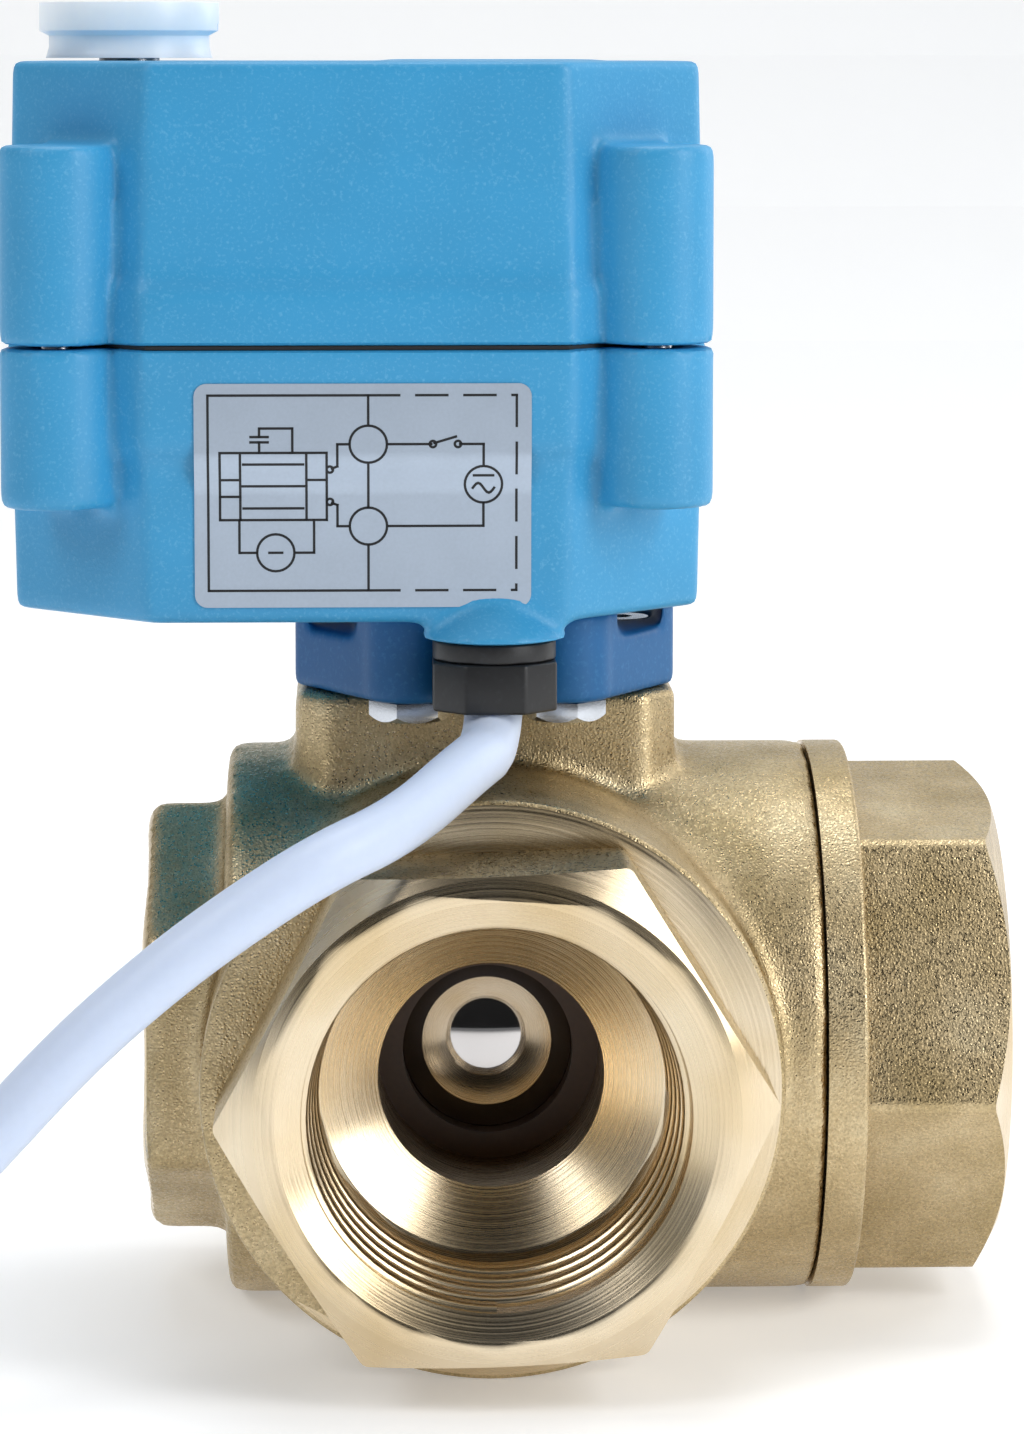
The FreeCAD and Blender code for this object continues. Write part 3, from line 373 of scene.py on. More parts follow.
# Silicone rubber, extruded: cool white, soft-edged shadows and a broad faint sheen.
JACKET = MilkyPlastic("silicone_jacket", "CDD9EE", roughness=0.42, ior=1.41, grain=0.9, relief=0.008,
                      shade=0.02, scatter=0.4)
# PVC insulation, extruded: plain glossy red.
RED_CORE = Finish("red_insulation", "B5201D", roughness=0.4, grain=0.6, relief=0.004)
# The same in black.
BLACK_CORE = Finish("black_insulation", "202124", roughness=0.4, grain=0.6, relief=0.004)


def round_normals(mesh: bpy.types.Mesh, centre: Vector, axis: Vector) -> None:
    """Shade the faces that lie on surfaces turned about an axis with their true normals.

    Args:
        mesh: the mesh to shade.
        centre: a point on the axis.
        axis: the axis's direction.
    """
    normals = [corner.vector.copy() for corner in mesh.corner_normals]

    def spoke(spot: Vector) -> Vector:
        """Find the direction from the axis out to a spot, square to the axis."""
        offset = spot - centre
        return (offset - axis * offset.dot(axis)).normalized()

    for polygon in mesh.polygons:
        outward = spoke(polygon.center)
        along, across = polygon.normal.dot(axis), polygon.normal.dot(outward)
        corners = [(index, spoke(mesh.vertices[mesh.loops[index].vertex_index].co))
                   for index in polygon.loop_indices]
        narrow = all(way.dot(outward) > ALIKE for _, way in corners)
        if along ** 2 + across ** 2 < ALIKE or not narrow:
            continue
        across = math.copysign(math.sqrt(max(0.0, 1 - along ** 2)), across)
        for index, way in corners:
            normals[index] = (way * across + axis * along).normalized()
    mesh.normals_split_custom_set(normals)


def sphere_normals(mesh: bpy.types.Mesh, centre: Vector, radius: float, close: float = 0.03) -> None:
    """Shade the faces that lie on a sphere with their true normals.

    Args:
        mesh: the mesh to shade.
        centre: the sphere's centre.
        radius: its radius.
        close: how many millimetres off the sphere a corner may be.
    """
    normals = [corner.vector.copy() for corner in mesh.corner_normals]
    for polygon in mesh.polygons:
        spokes = [(index, mesh.vertices[mesh.loops[index].vertex_index].co - centre)
                  for index in polygon.loop_indices]
        if all(abs(way.length - radius) < close * MM for _, way in spokes):
            for index, way in spokes:
                normals[index] = way.normalized()
    mesh.normals_split_custom_set(normals)


def finished(name: str, bm: bmesh.types.BMesh, body: str, finishes: Sequence[Finish],
             nodes: Iterable[str] = (), smooth: float = 35.0) -> bpy.types.Object:
    """Turn a bmesh into a piece of the object, with its body and finishes.

    Args:
        name: the piece's name.
        bm: its shape, in place in the row's frame; it is freed.
        body: the CAD body that it rides on.
        finishes: its materials, in the order of its faces' material numbers.
        nodes: CAD nodes that it stands for.
        smooth: edges flatter than this many degrees are shaded smooth.

    Returns:
        The new object.
    """
    mesh = bpy.data.meshes.new(name)
    for face in bm.faces:
        face.smooth = True
    for edge in bm.edges:
        edge.smooth = len(edge.link_faces) == 2 and edge.calc_face_angle(0.0) < math.radians(smooth)
    bm.to_mesh(mesh)
    bm.free()
    for finish in finishes:
        mesh.materials.append(finish.build())
    piece = bpy.data.objects.new(name, mesh)
    bpy.context.scene.collection.objects.link(piece)
    if nodes:
        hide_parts(*nodes)
    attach(piece, body)
    LOG.info("%s: %d faces on %s", name, len(mesh.polygons), body)
    return piece


def merged_copy(node: str) -> bmesh.types.BMesh:
    """Copy a CAD node's mesh, its loose triangles merged and its flat faces made whole.

    Args:
        node: the CAD node.

    Returns:
        The copy.
    """
    bm = bmesh.new()
    bm.from_mesh(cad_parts[node].data)
    bmesh.ops.remove_doubles(bm, verts=bm.verts, dist=MERGE * MM)
    bmesh.ops.dissolve_limit(bm, angle_limit=math.radians(FLAT), verts=bm.verts, edges=bm.edges)
    return bm


def relaxed_skin(node: str, voxel: float, rounds: int,
                 held: Optional[Callable[[Vector], bool]] = None) -> bmesh.types.BMesh:
    """Lay an even skin over a CAD node and relax it, so that its edges and junctions turn soft.

    Args:
        node: the CAD node.
        voxel: the skin's mesh size in millimetres.
        rounds: how many times each point moves half way to its neighbours' middle.
        held: tells which points stay where they are; none if not given.

    Returns:
        The skin.
    """
    shape = bpy.data.meshes.new(node + "_source")
    source = bpy.data.objects.new(node + "_source", shape)
    bm = merged_copy(node)
    bm.to_mesh(shape)
    bm.free()
    bpy.context.scene.collection.objects.link(source)
    remesh = source.modifiers.new("skin", "REMESH")
    remesh.mode = "VOXEL"
    remesh.voxel_size = voxel * MM
    evaluated = source.evaluated_get(bpy.context.evaluated_depsgraph_get())
    remeshed = bpy.data.meshes.new_from_object(evaluated)
    skin = bmesh.new()
    skin.from_mesh(remeshed)
    bpy.data.objects.remove(source)
    for spent in (remeshed, shape):
        bpy.data.meshes.remove(spent)
    loose = [vertex for vertex in skin.verts if held is None or not held(vertex.co)]
    for _ in range(rounds):
        bmesh.ops.smooth_vert(skin, verts=loose, factor=0.5, use_axis_x=True, use_axis_y=True,
                              use_axis_z=True)
    return skin


def ease_edges(bm: bmesh.types.BMesh, radius: float, sharper: float = 28.0, segments: int = 3,
               keep: Optional[Callable[[bmesh.types.BMEdge], bool]] = None) -> None:
    """Round the sharp edges of a shape, as a mould or a deburring tool leaves them.

    Args:
        bm: the shape.
        radius: width of the rounding in millimetres.
        sharper: only edges that turn more than this many degrees are rounded.
        segments: faces across each rounding.
        keep: tells which of those edges to round; all of them if not given.
    """
    edges = [edge for edge in bm.edges if len(edge.link_faces) == 2
             and edge.calc_face_angle(0.0) > math.radians(sharper) and (keep is None or keep(edge))]
    bmesh.ops.bevel(bm, geom=edges, offset=radius * MM, offset_type="OFFSET", segments=segments, profile=0.5,
                    affect="EDGES", clamp_overlap=True, material=-1)


def dress_node(node: str, finish: Finish) -> None:
    """Give a CAD node that stays as it is a finished material.

    Args:
        node: the CAD node.
        finish: its finish.
    """
    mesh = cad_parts[node].data
    material = finish.build()
    if mesh.materials:
        for index in range(len(mesh.materials)):
            mesh.materials[index] = material
    else:
        mesh.materials.append(material)


@dataclass
class BrassBody:
    """Forged body, its two screwed caps, the threads, the seats and the chromed ball.

    Sizes are in millimetres. Depths run along a port from the point where the ports' axes cross.
    """

    voxel: float = 0.75
    softening: int = 6
    major: float = 16.62
    bore_wall: float = 0.8
    left_bore: float = 20.6
    left_face: float = 33.0
    flange: float = 27.4
    flange_front: float = 36.0
    rim_rounding: float = 0.5
    hexagon_inside: float = 24.0
    mouth_radius: float = 20.5
    mouth_face: float = 3.0
    flare: float = 1.25
    mouth_shift: float = 1.2
    mouth_depth: float = 2.5
    corner: dict[Direction, float] = field(default_factory=lambda: {
        Direction.RIGHT: 1.6, Direction.FRONT: 0.8})
    pitch: float = 2.309
    land: tuple[tuple[float, float], ...] = ((0.0, 0.95), (0.42, 0.74), (0.5, 0.6))
    land_root: float = 0.08
    steps: int = 72
    cap_thread: float = 35.9
    left_thread: float = 22.2
    thread_flare: float = 0.91
    ball_radius: float = 16.5

    def build(self) -> None:
        """Make every brass piece, the seats and the ball."""
        self.forging()
        self.cap("right_end_cap", Direction.RIGHT, 0.0)
        self.cap("front_end_cap", Direction.FRONT, self.flare)
        self.thread("right_thread", Direction.RIGHT, self.cap_thread, 4.7, 0.0)
        self.thread("front_thread", Direction.FRONT, self.cap_thread, 4.75, self.thread_flare * self.flare)
        self.thread("left_thread", Direction.LEFT, self.left_thread, 3.7, 0.0)
        self.ball()
        for node in ("left_seat", "right_seat", "front_seat"):
            piece = finished(node + "_ring", merged_copy(node), "valve", [SEAT], [node])
            round_normals(piece.data, PORTS, Vector((0, 1, 0) if node == "front_seat" else (1, 0, 0)))

    def forging(self) -> None:
        """Make the body: a relaxed skin whose junctions flow as forged, its left bore and face turned."""
        skin = relaxed_skin("valve_body", self.voxel, self.softening)
        for face in skin.faces:
            offset = (face.calc_center_median() - PORTS) / MM
            in_bore = -offset.x > self.left_bore and offset.yz.length < self.major + self.bore_wall
            on_face = -offset.x > self.left_face and face.normal.x < -0.8
            face.material_index = 1 if in_bore or on_face else 0
        finished("forged_body", skin, "valve", [FORGED, TURNED[Direction.LEFT]],
                 ["valve_body"], smooth=60.0)

    def cap(self, node: str, facing: Direction, flare: float) -> None:
        """Make an end cap: hexagon and flange as forged with eased corners, its face, mouth and bore turned.

        Args:
            node: the cap's CAD node.
            facing: the way its port faces.
            flare: how much the threaded bore widens toward the mouth, in millimetres.
        """
        bm = merged_copy(node)
        axis = facing.value.to_3x3() @ Vector((0, 0, 1))

        def polar(spot: Vector) -> tuple[float, float]:
            """Measure a spot's depth along the port and its distance from the axis.

            Args:
                spot: a place in the row's frame.

            Returns:
                The depth and the distance, in millimetres.
            """
            offset = spot - PORTS
            depth = offset.dot(axis)
            return depth / MM, (offset - axis * depth).length / MM

        def hexagon_corner(edge: bmesh.types.BMEdge) -> bool:
            """Tell whether an edge is one of the hexagon's corners, which run along the port."""
            start, end = (vertex.co for vertex in edge.verts)
            return polar(start)[1] > self.hexagon_inside and abs((end - start).normalized().dot(axis)) > ALIKE

        def flange_rim(edge: bmesh.types.BMEdge) -> bool:
            """Tell whether an edge is on the rim of the flange's front."""
            spots = [polar(vertex.co) for vertex in edge.verts]
            return all(radius > self.flange - 0.1 and depth > self.flange_front for depth, radius in spots)

        end = max(polar(vertex.co)[0] for vertex in bm.verts)
        for vertex in bm.verts:
            depth, radius = polar(vertex.co)
            share = (depth - end) / self.mouth_depth + 1
            if flare and -0.05 < share < 1 and radius < self.mouth_radius:
                outward = (vertex.co - PORTS - axis * depth * MM).normalized()
                vertex.co += (outward * flare + axis * self.mouth_shift) * (1 - share) * MM
        ease_edges(bm, self.corner[facing], keep=hexagon_corner)
        ease_edges(bm, self.rim_rounding, keep=flange_rim)
        for face in bm.faces:
            depth, radius = polar(face.calc_center_median())
            faces_out = face.normal.dot(axis) > 0.5 and depth > end - self.mouth_face
            face.material_index = 1 if faces_out or radius < self.mouth_radius else 0
        piece = finished(node + "_turned", bm, "valve", [FORGED, TURNED[facing]], [node])
        round_normals(piece.data, PORTS, axis)

    def thread(self, name: str, facing: Direction, start: float, turns: float, flare: float) -> None:
        """Spin a pipe thread's broad helical land inside a bore and widen it with the bore.

        Args:
            name: the piece's name.
            facing: the way the port faces.
            start: depth of the first turn, in millimetres.
            turns: how many turns it has.
            flare: how much wider the last turn is than the first, in millimetres.
        """
        bm = bmesh.new()
        root = self.major + self.land_root
        section = [(root - rise, -half) for rise, half in self.land]
        section += [(root - rise, half) for rise, half in reversed(self.land)]
        verts = [bm.verts.new(Vector((radius, 0, height + start)) * MM) for radius, height in section]
        edges = [bm.edges.new(pair) for pair in zip(verts, verts[1:] + verts[:1])]
        count = round(self.steps * turns)
        bmesh.ops.contextual_create(bm, geom=edges)
        ring = bm.verts[:] + bm.edges[:] + bm.faces[:]
        bmesh.ops.spin(bm, geom=ring, angle=2 * math.pi * turns, steps=count, axis=(0, 0, 1), cent=(0, 0, 0),
                       dvec=(0, 0, self.pitch * turns * MM / count))
        bmesh.ops.recalc_face_normals(bm, faces=bm.faces)
        for vertex in bm.verts:
            share = (vertex.co.z / MM - start) / (self.pitch * turns)
            vertex.co.xy *= 1 + flare * share / self.major
        bmesh.ops.transform(bm, matrix=Matrix.Translation(PORTS) @ facing.value, verts=bm.verts)
        finished(name, bm, "valve", [TURNED[facing]])

    def ball(self) -> None:
        """Make the ball from the CAD shape, shaded smooth so that it mirrors the port."""
        bm = merged_copy("ball")
        piece = finished("chromed_ball", bm, "ball_drive", [CHROME], ["ball"], smooth=30.0)
        sphere_normals(piece.data, PORTS, self.ball_radius * MM)


@dataclass
class Actuator:
    """Blue housing, bracket, gland, screws and knob; sizes in millimetres."""

    voxel: float = 0.6
    softening: int = 4
    parting_band: float = 0.7
    bracket_voxel: float = 0.45
    bolt_easing: float = 0.12
    screw_easing: float = 0.1
    gland_easing: float = 0.25
    nut_easing: float = 0.3
    knob_easing: float = 0.3
    knob_foot: float = 0.05
    skirt_gap: float = 0.12

    def build(self) -> None:
        """Make every outside piece of the actuator."""
        self.housing("upper_housing", outward=1)
        self.housing("lower_housing", outward=-1)
        bracket = relaxed_skin("mounting_bracket", self.bracket_voxel, self.softening)
        finished("mounting_bracket_moulding", bracket, "valve", [BLUE_BRACKET],
                 ["mounting_bracket"], smooth=50.0)
        for node, slot, finish, easing in (
                ("bracket_bolts", "zinc_steel", ZINC, self.bolt_easing),
                ("cover_screws", "zinc_steel", ZINC, self.screw_easing),
                ("cable_gland", "gland_black", BLACK_NYLON, self.gland_easing),
                ("gland_nut", "gland_black", BLACK_NYLON, self.nut_easing)):
            bm = merged_copy(node)
            ease_edges(bm, easing)
            finished(node + "_eased", bm, "valve", [finish], [node])
        self.knob()

    def housing(self, node: str, outward: int) -> None:
        """Make a housing half, its edges softened by a relaxed skin but its parting edge kept.

        Args:
            node: the CAD node.
            outward: 1 for the upper half, whose parting edge is its foot, and -1 for the lower.
        """
        low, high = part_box(node)
        parting = low[2] if outward > 0 else high[2]
        skin = relaxed_skin(node, self.voxel, self.softening,
                            lambda spot: abs(spot.z - parting) < self.parting_band * MM)
        finished(node + "_moulding", skin, "valve", [BLUE_ABS], [node], smooth=50.0)

    def knob(self) -> None:
        """Make the knob, its skirt drawn down to a hair above the cover."""
        bm = merged_copy("manual_knob")
        foot = min(vertex.co.z for vertex in bm.verts)
        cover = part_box("upper_housing")[1][2]
        for vertex in bm.verts:
            if vertex.co.z < foot + self.knob_foot * MM:
                vertex.co.z = cover + self.skirt_gap * MM
        ease_edges(bm, self.knob_easing)
        finished("manual_knob_eased", bm, "override_knob", [KNOB_MILK], ["manual_knob"])


@dataclass
class WiringLabel:
    """Silver label wrapped over the housing's step, with a generic wiring diagram in thin black lines.

    Across and up are measured in millimetres from its lower left corner.
    """

    corner: float = 1.2
    thickness: float = 0.15
    line: float = 0.24
    ink: float = 0.03
    bend: tuple[float, float] = (10.6, 14.8)
    bend_cuts: int = 12
    circle: float = 1.75
    contact: float = 0.3

    def __post_init__(self) -> None:
        """Take the label's size and slope from its CAD node."""
        self.low, self.high = (Vector(corner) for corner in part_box("wiring_label"))
        self.width = (self.high.x - self.low.x) / MM
        self.height = (self.high.z - self.low.z) / MM
        self.profile = self.front_profile()

    def front_profile(self) -> list[tuple[float, float]]:
        """Find the label's bends from its CAD node.

        Returns:
            Each bend's height above the label's foot, in millimetres, and the depth of the front face there.
        """
        heights: dict[float, float] = {}
        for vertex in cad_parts["wiring_label"].data.vertices:
            level = round((vertex.co.z - self.low.z) / MM, 2)
            heights[level] = min(heights.get(level, 1.0), vertex.co.y)
        return sorted(heights.items())

    def wall(self, up: float) -> float:
        """Find the depth of the label's CAD face at a height.

        Args:
            up: height above the label's foot, in millimetres.

        Returns:
            The face's depth in the row's frame.
        """
        for (low, near), (high, far) in zip(self.profile, self.profile[1:]):
            if up <= high:
                return near + (far - near) * (up - low) / (high - low)
        return self.profile[-1][1]

    def on_wall(self, across: float, up: float, out: float) -> Vector:
        """Place a spot of the flat drawing on the wall, with the step bridged in a soft bend.

        Args:
            across: millimetres from the label's left edge.
            up: millimetres from its foot.
            out: millimetres in front of its face.

        Returns:
            The place in the row's frame.
        """
        low, high = self.bend
        share = min(max((up - low) / (high - low), 0.0), 1.0)
        eased = share * share * (3 - 2 * share)
        depth = self.wall(up) + (self.wall(high) - self.wall(up)) * eased if share < 1 else self.wall(up)
        return Vector((self.low.x + across * MM, depth - out * MM, self.low.z + up * MM))

    def wrap(self, bm: bmesh.types.BMesh) -> None:
        """Cut a flat drawing across the bend and bend it over the wall's step.

        Args:
            bm: the flat drawing, in millimetres.
        """
        low, high = self.bend
        for level in (low + (high - low) * cut / self.bend_cuts for cut in range(self.bend_cuts + 1)):
            geometry = bm.verts[:] + bm.edges[:] + bm.faces[:]
            bmesh.ops.bisect_plane(bm, geom=geometry, plane_co=(0, level, 0), plane_no=(0, 1, 0))
        for vertex in bm.verts:
            vertex.co = self.on_wall(*vertex.co)

    def stroke(self, bm: bmesh.types.BMesh, points: Sequence[tuple[float, float]]) -> None:
        """Draw a run of straight lines as thin bars.

        Args:
            bm: the flat drawing.
            points: the run's corners, across and up.
        """
        for start, end in zip(points, points[1:]):
            a, b = Vector((*start, 0)), Vector((*end, 0))
            direction = b - a
            turn = Matrix.Rotation(math.atan2(direction.y, direction.x), 4, "Z")
            size = Matrix.Diagonal((direction.length + self.line, self.line, self.ink, 1))
            bmesh.ops.create_cube(bm, size=1.0, matrix=Matrix.Translation((a + b) / 2) @ turn @ size)

    def ring(self, bm: bmesh.types.BMesh, across: float, up: float, radius: float) -> None:
        """Draw a circle as a thin ring.

        Args:
            bm: the flat drawing.
            across: its centre from the label's left edge.
            up: its centre from the label's foot.
            radius: its radius.
        """
        half, rise = self.line / 2, self.ink / 2
        corners = [(radius - half, -rise), (radius + half, -rise),
                   (radius + half, rise), (radius - half, rise)]
        verts = [bm.verts.new((across + x, up, z)) for x, z in corners]
        edges = [bm.edges.new(pair) for pair in zip(verts, verts[1:] + verts[:1])]
        bmesh.ops.spin(bm, geom=verts + edges, angle=2 * math.pi, steps=32, axis=(0, 0, 1),
                       cent=(across, up, 0), use_merge=True)

    def dashes(self, start: tuple[float, float], end: tuple[float, float], long: float = 2.9,
               gap: float = 1.6, least: float = 0.3) -> list[list[tuple[float, float]]]:
        """Split a straight line into dashes.

        Args:
            start: where the line starts.
            end: where it ends.
            long: length of a dash.
            gap: length of the gap after it.
            least: the shortest dash that may end the line.

        Returns:
            The two ends of each dash.
        """
        a, b = Vector(start), Vector(end)
        direction = (b - a).normalized()
        runs, travelled = [], 0.0
        while travelled < (b - a).length - least:
            stop = min(travelled + long, (b - a).length)
            runs.append([tuple(a + direction * travelled), tuple(a + direction * stop)])
            travelled = stop + gap
        return runs

    def build(self) -> None:
        """Make the film and its printed lines."""
        bm = bmesh.new()
        middle = Matrix.Translation((self.width / 2, self.height / 2, -self.thickness / 2))
        size = Matrix.Diagonal((self.width, self.height, self.thickness, 1))
        bmesh.ops.create_cube(bm, size=1.0, matrix=middle @ size)
        uprights = [edge for edge in bm.edges if abs(edge.verts[0].co.z - edge.verts[1].co.z) > 0.01]
        bmesh.ops.bevel(bm, geom=uprights, offset=self.corner, segments=8, profile=0.5, affect="EDGES",
                        material=-1)
        self.wrap(bm)
        bmesh.ops.recalc_face_normals(bm, faces=bm.faces)
        finished("label_film", bm, "valve", [LABEL_FILM], ["wiring_label"], smooth=20.0)
        self.diagram()

    def diagram(self) -> None:
        """Draw the wiring: contact block, motor, two terminals, a switch and a supply, in a dashed border."""
        left, right, low, top = 1.3, self.width - 1.4, 1.6, self.height - 1.1
        middle, feed, upper, lower = 16.3, 27.1, 15.5, 7.7
        near, far, foot, head = 2.4, 12.4, 8.3, 14.7
        inner_near, inner_far, motor_up = 4.3, 10.5, 5.2
        lead, circle = 13.4, self.circle
        border = [[(middle, top), (left, top), (left, low), (middle, low)]]
        centre_line = [[(middle, top), (middle, upper + circle)],
                       [(middle, upper - circle), (middle, lower + circle)],
                       [(middle, lower - circle), (middle, low)]]
        switch = [[(middle + circle, upper), (22.2, upper)], [(22.5, upper + 0.1), (24.5, upper + 0.7)]]
        supply = [[(24.9, upper), (feed, upper), (feed, 13.4)],
                  [(feed, 9.9), (feed, lower), (middle + circle, lower)]]
        block = [[(near, foot), (far, foot), (far, head), (near, head), (near, foot)],
                 [(inner_near, foot), (inner_near, head)], [(inner_far, foot), (inner_far, head)],
                 [(inner_near, 11.5), (inner_far, 11.5)],
                 [(near, 12.1), (inner_near, 12.1)], [(near, 10.5), (inner_near, 10.5)],
                 [(inner_far, 12.1), (far, 12.1)], [(4.6, 13.6), (10.2, 13.6)], [(4.6, 9.4), (10.2, 9.4)]]
        motor = [[(4.2, foot), (4.2, motor_up), (5.8, motor_up)],
                 [(9.4, motor_up), (11.2, motor_up), (11.2, foot)]]
        capacitor = [[(6.1, head), (6.1, 15.7)], [(5.3, 15.7), (6.9, 15.7)], [(5.3, 16.2), (6.9, 16.2)],
                     [(6.1, 16.2), (6.1, 17.0), (9.2, 17.0), (9.2, head)]]
        leads = [[(middle - circle, upper), (lead, upper), (lead, 13.4), (12.9, 13.2)],
                 [(middle - circle, lower), (lead, lower), (lead, 9.7), (12.9, 9.9)]]
        runs = border + centre_line + switch + supply + block + motor + capacitor + leads
        runs += self.dashes((middle, top), (right, top)) + self.dashes((middle, low), (right, low))
        runs += self.dashes((right, top), (right, low))
        wave = [(feed - 1.0 + 2.0 * step / 12, 11.3 + 0.45 * math.sin(2 * math.pi * step / 12))
                for step in range(13)]
        runs += [wave, [(feed - 0.9, 12.5), (feed + 0.9, 12.5)], [(7.0, motor_up), (8.2, motor_up)]]
        bm = bmesh.new()
        for run in runs:
            self.stroke(bm, run)
        for across, up in ((middle, upper), (middle, lower), (feed, 11.65), (7.6, motor_up)):
            self.ring(bm, across, up, circle)
        for across, up in ((22.35, upper), (24.7, upper), (12.7, 13.1), (12.7, 10.0)):
            self.ring(bm, across, up, self.contact)
        self.wrap(bm)
        bmesh.ops.recalc_face_normals(bm, faces=bm.faces)
        finished("label_print", bm, "valve", [INK])


@dataclass
class Works:
    """What is inside the housing and the body: gears, shafts, motor, switches and board."""

    finishes: dict[str, Finish] = field(default_factory=lambda: {
        "stem": TURNED[Direction.FRONT], "stem_orings": BLACK_RUBBER, "thrust_washer": SEAT,
        "cap_gaskets": FIBRE, "pad_screws": ZINC, "housing_gasket": BLACK_RUBBER,
        "output_gear": ACETAL, "idler_gear": ACETAL, "reducer_gear": ACETAL, "motor_pinion": BRONZE,
        "knob_gear": ACETAL, "output_shaft": ZINC, "lower_cam": ACETAL, "upper_cam": ACETAL,
        "gear_plate": STAMPED_STEEL, "plate_posts": ZINC, "gear_axles": ZINC, "plate_bush": BRONZE,
        "shaft_bush": ACETAL, "drive_motor": STAMPED_STEEL, "motor_shaft": ZINC,
        "limit_switches": SWITCH_BLACK, "switch_levers": STAMPED_STEEL, "circuit_board": SOLDER_MASK,
        "board_capacitor": SLEEVE, "board_relay": SWITCH_BLACK, "terminal_block": TERMINAL,
        "knob_shaft": ZINC, "knob_seal": BLACK_RUBBER, "core_red": RED_CORE, "core_black": BLACK_CORE})

    def build(self) -> None:
        """Give each inner node its finish."""
        for node, finish in self.finishes.items():
            dress_node(node, finish)
        LOG.info("dressed %d inner nodes", len(self.finishes))


@dataclass
class SupplyCable:
    """White two-core cable: out of the gland, over the front cap's rim, down to the table and into its coil.

    Sizes are in metres. The route's points are listed, and the CAD's cable follows the same ones.
    """

    diameter: float = 0.0055
    length: float = 0.49
    turns: int = 2
    points_per_turn: int = 16
    coil_centre: tuple[float, float] = (-0.0922, -0.0090)
    outer_radius: float = 0.0355
    round_steps: int = 8
    length_steps: int = 10
    route: tuple[tuple[float, float, float], ...] = (
        (-0.0018, -0.0162, 0.0628), (-0.0021, -0.0203, 0.0587), (-0.0044, -0.0273, 0.0582),
        (-0.0107, -0.0367, 0.0542), (-0.0182, -0.0431, 0.0518), (-0.0262, -0.0445, 0.0468),
        (-0.0332, -0.0450, 0.0416), (-0.0407, -0.0450, 0.0349), (-0.0492, -0.0448, 0.0256),
        (-0.0592, -0.0446, 0.0154), (-0.0702, -0.0445, 0.0066), (-0.0812, -0.0445, 0.0028))

    def coil(self) -> list[tuple[float, float, float]]:
        """Work out the coil's turns, each a diameter inside the last.

        Returns:
            Their control points, a little outside the circle that the curve then follows.
        """
        reach = 1 / math.cos(math.pi / self.points_per_turn)
        points = []
        for step in range(self.turns * self.points_per_turn + 1):
            share = step / self.points_per_turn
            angle = -math.pi / 2 - 2 * math.pi * share
            radius = (self.outer_radius - self.diameter * share) * (reach if step else 1.0)
            points.append((self.coil_centre[0] + radius * math.cos(angle),
                           self.coil_centre[1] + radius * math.sin(angle), self.diameter / 2))
        return points

    def build(self) -> None:
        points = list(self.route) + self.coil()
        curve = bpy.data.curves.new("supply_cable", "CURVE")
        curve.dimensions = "3D"
        curve.bevel_depth = self.diameter / 2
        curve.bevel_resolution = self.round_steps
        curve.resolution_u = self.length_steps
        curve.use_fill_caps = True
        spline = curve.splines.new("NURBS")
        spline.points.add(len(points) - 1)
        for spot, point in zip(spline.points, points):
            spot.co = (*point, 1.0)
        spline.order_u = 3
        spline.use_endpoint_u = True
        curve.materials.append(JACKET.build())
        cable = bpy.data.objects.new("supply_cable", curve)
        bpy.context.scene.collection.objects.link(cable)
        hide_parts("cable", "cable_coil")
        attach(cable, "valve")
        LOG.info("supply cable with %d control points", len(points))


@dataclass(frozen=True)
class SoftBox:
    """A rectangular lamp aimed at the valve's middle, in metres and watts."""

    name: str
    place: tuple[float, float, float]
    size: tuple[float, float]
    power: float
    target: tuple[float, float, float] = (0.0, 0.0, 0.06)

    def build(self) -> None:
        """Hang the lamp."""
        data = bpy.data.lights.new(self.name, "AREA")
        data.shape = "RECTANGLE"
        data.size, data.size_y = self.size
        data.energy = self.power
        lamp = bpy.data.objects.new(self.name, data)
        lamp.location = self.place
        lamp.rotation_euler = (Vector(self.target) - Vector(self.place)).to_track_quat("-Z", "Y").to_euler()
        bpy.context.scene.collection.objects.link(lamp)


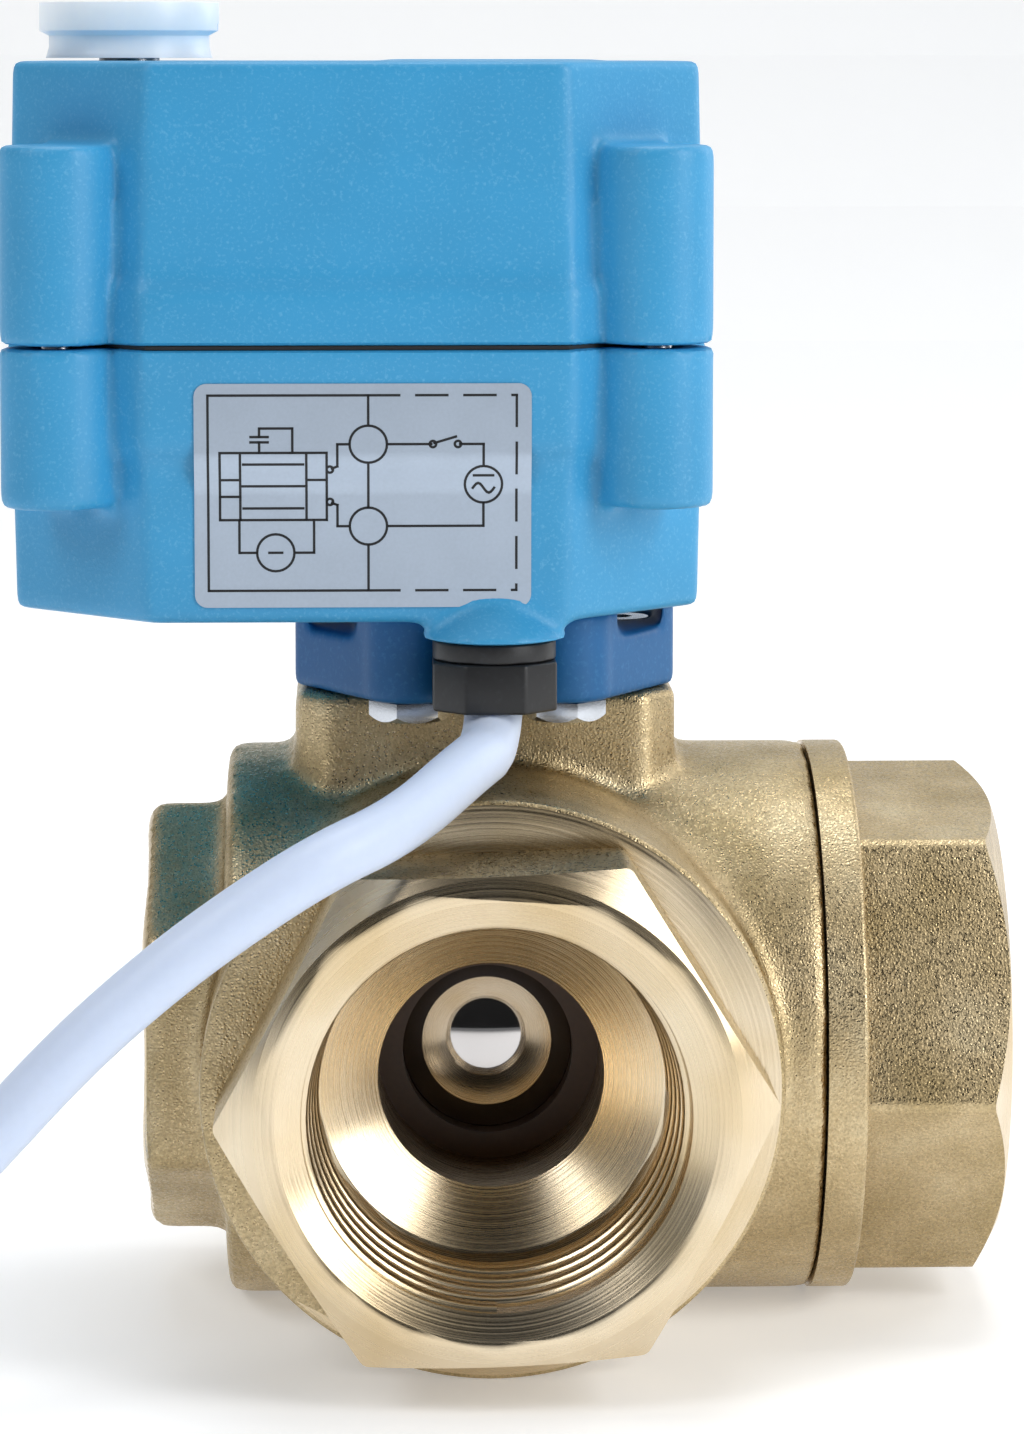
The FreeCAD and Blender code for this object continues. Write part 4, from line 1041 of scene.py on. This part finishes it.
@dataclass
class Studio:
    """Camera, floor with its backdrop, dark card, surround and lamps; places in metres, angles in degrees."""

    camera_place: tuple[float, float, float] = (-0.0147, -0.4595, 0.1237)
    focal: float = 118.2
    rise: float = -0.2025
    pitch: float = 4.5
    yaw: float = 1.885
    floor_side: float = 3.0
    floor_front: float = -2.0
    floor_back: float = 1.2
    backdrop: float = 2.5
    sweep: float = 0.6
    glow: float = 0.28
    card_place: tuple[float, float, float] = (0.0, -1.1, 0.95)
    card_half: float = 0.9
    surround: float = 0.27
    lamps: tuple[SoftBox, ...] = (
        SoftBox("key", (-0.6, -0.5, 0.75), (0.4, 0.5), 2.9),
        SoftBox("fill", (0.65, -0.5, 0.45), (0.35, 0.7), 5.0),
        SoftBox("top", (0.0, 0.15, 0.9), (0.5, 0.4), 3.2),
        SoftBox("rim", (0.6, 0.4, 0.4), (0.3, 0.6), 1.4))

    def build(self) -> None:
        """Set up the camera and everything round the valve."""
        self.camera()
        self.floor()
        self.dark_card()
        self.world()
        for lamp in self.lamps:
            lamp.build()
        bpy.context.scene.view_settings.view_transform = "Standard"

    def camera(self) -> None:
        """Set a long lens level with the housing's cover, dipped a little and its frame shifted down."""
        data = bpy.data.cameras.new("camera")
        data.lens = self.focal
        data.shift_y = self.rise
        camera = bpy.data.objects.new("camera", data)
        camera.location = self.camera_place
        camera.rotation_euler = (math.radians(90 - self.pitch), 0, math.radians(-self.yaw))
        bpy.context.scene.collection.objects.link(camera)
        bpy.context.scene.camera = camera

    def prop(self, name: str, bm: bmesh.types.BMesh, material: bpy.types.Material) -> None:
        """Turn a bmesh into an object that stands round the valve and isn't part of it.

        Args:
            name: the object's name.
            bm: its shape; it is freed.
            material: its material.
        """
        mesh = bpy.data.meshes.new(name)
        bm.to_mesh(mesh)
        bm.free()
        mesh.materials.append(material)
        prop = bpy.data.objects.new(name, mesh)
        bpy.context.scene.collection.objects.link(prop)

    def floor(self) -> None:
        """Lay a pale floor of matt paper that curves up into a backdrop and glows a little."""
        bm = bmesh.new()
        verts = [bm.verts.new((-self.floor_side, across, up)) for across, up in (
            (self.floor_front, 0), (self.floor_back, 0), (self.floor_back, self.backdrop))]
        edges = [bm.edges.new(pair) for pair in zip(verts, verts[1:])]
        bmesh.ops.bevel(bm, geom=[verts[1]], offset=self.sweep, segments=12, profile=0.5, affect="VERTICES",
                        material=-1)
        side = bmesh.ops.extrude_edge_only(bm, edges=bm.edges[:])
        moved = [item for item in side["geom"] if isinstance(item, bmesh.types.BMVert)]
        bmesh.ops.translate(bm, verts=moved, vec=(2 * self.floor_side, 0, 0))
        bmesh.ops.recalc_face_normals(bm, faces=bm.faces)
        paper = Finish("white_paper", "F4F5F6", roughness=0.8, grain=4.0, relief=0.0, shade=0.01).build()
        shader = paper.node_tree.nodes["Principled BSDF"]
        shader.inputs["Emission Color"].default_value = linear("FFFFFF")
        shader.inputs["Emission Strength"].default_value = self.glow
        self.prop("floor", bm, paper)

    def dark_card(self) -> None:
        """Stand a card of black felt behind the camera: it gives back little light, so metal mirrors dark."""
        bm = bmesh.new()
        place = Matrix.Translation(self.card_place) @ Matrix.Rotation(math.radians(90), 4, "X")
        bmesh.ops.create_grid(bm, x_segments=1, y_segments=1, size=self.card_half, matrix=place)
        felt = Finish("black_felt", "0D0D0E", roughness=0.9, grain=2.0, relief=0.0).build()
        self.prop("dark_card", bm, felt)

    def world(self) -> None:
        """Surround everything with a soft, even white, dim enough for metal to show both light and dark."""
        world = bpy.data.worlds.new("surround")
        world.use_nodes = True
        background = world.node_tree.nodes["Background"]
        background.inputs["Color"].default_value = linear("EEF2F6")
        background.inputs["Strength"].default_value = self.surround
        bpy.context.scene.world = world


def main() -> None:
    """Build the studio and every sub-assembly."""
    logging.basicConfig(level=logging.INFO, format="%(name)s: %(message)s")
    for part in (Studio(), SupplyCable(), BrassBody(), Actuator(), WiringLabel(), Works()):
        part.build()
    bpy.context.view_layer.update()


if __name__ == "__main__":
    main()
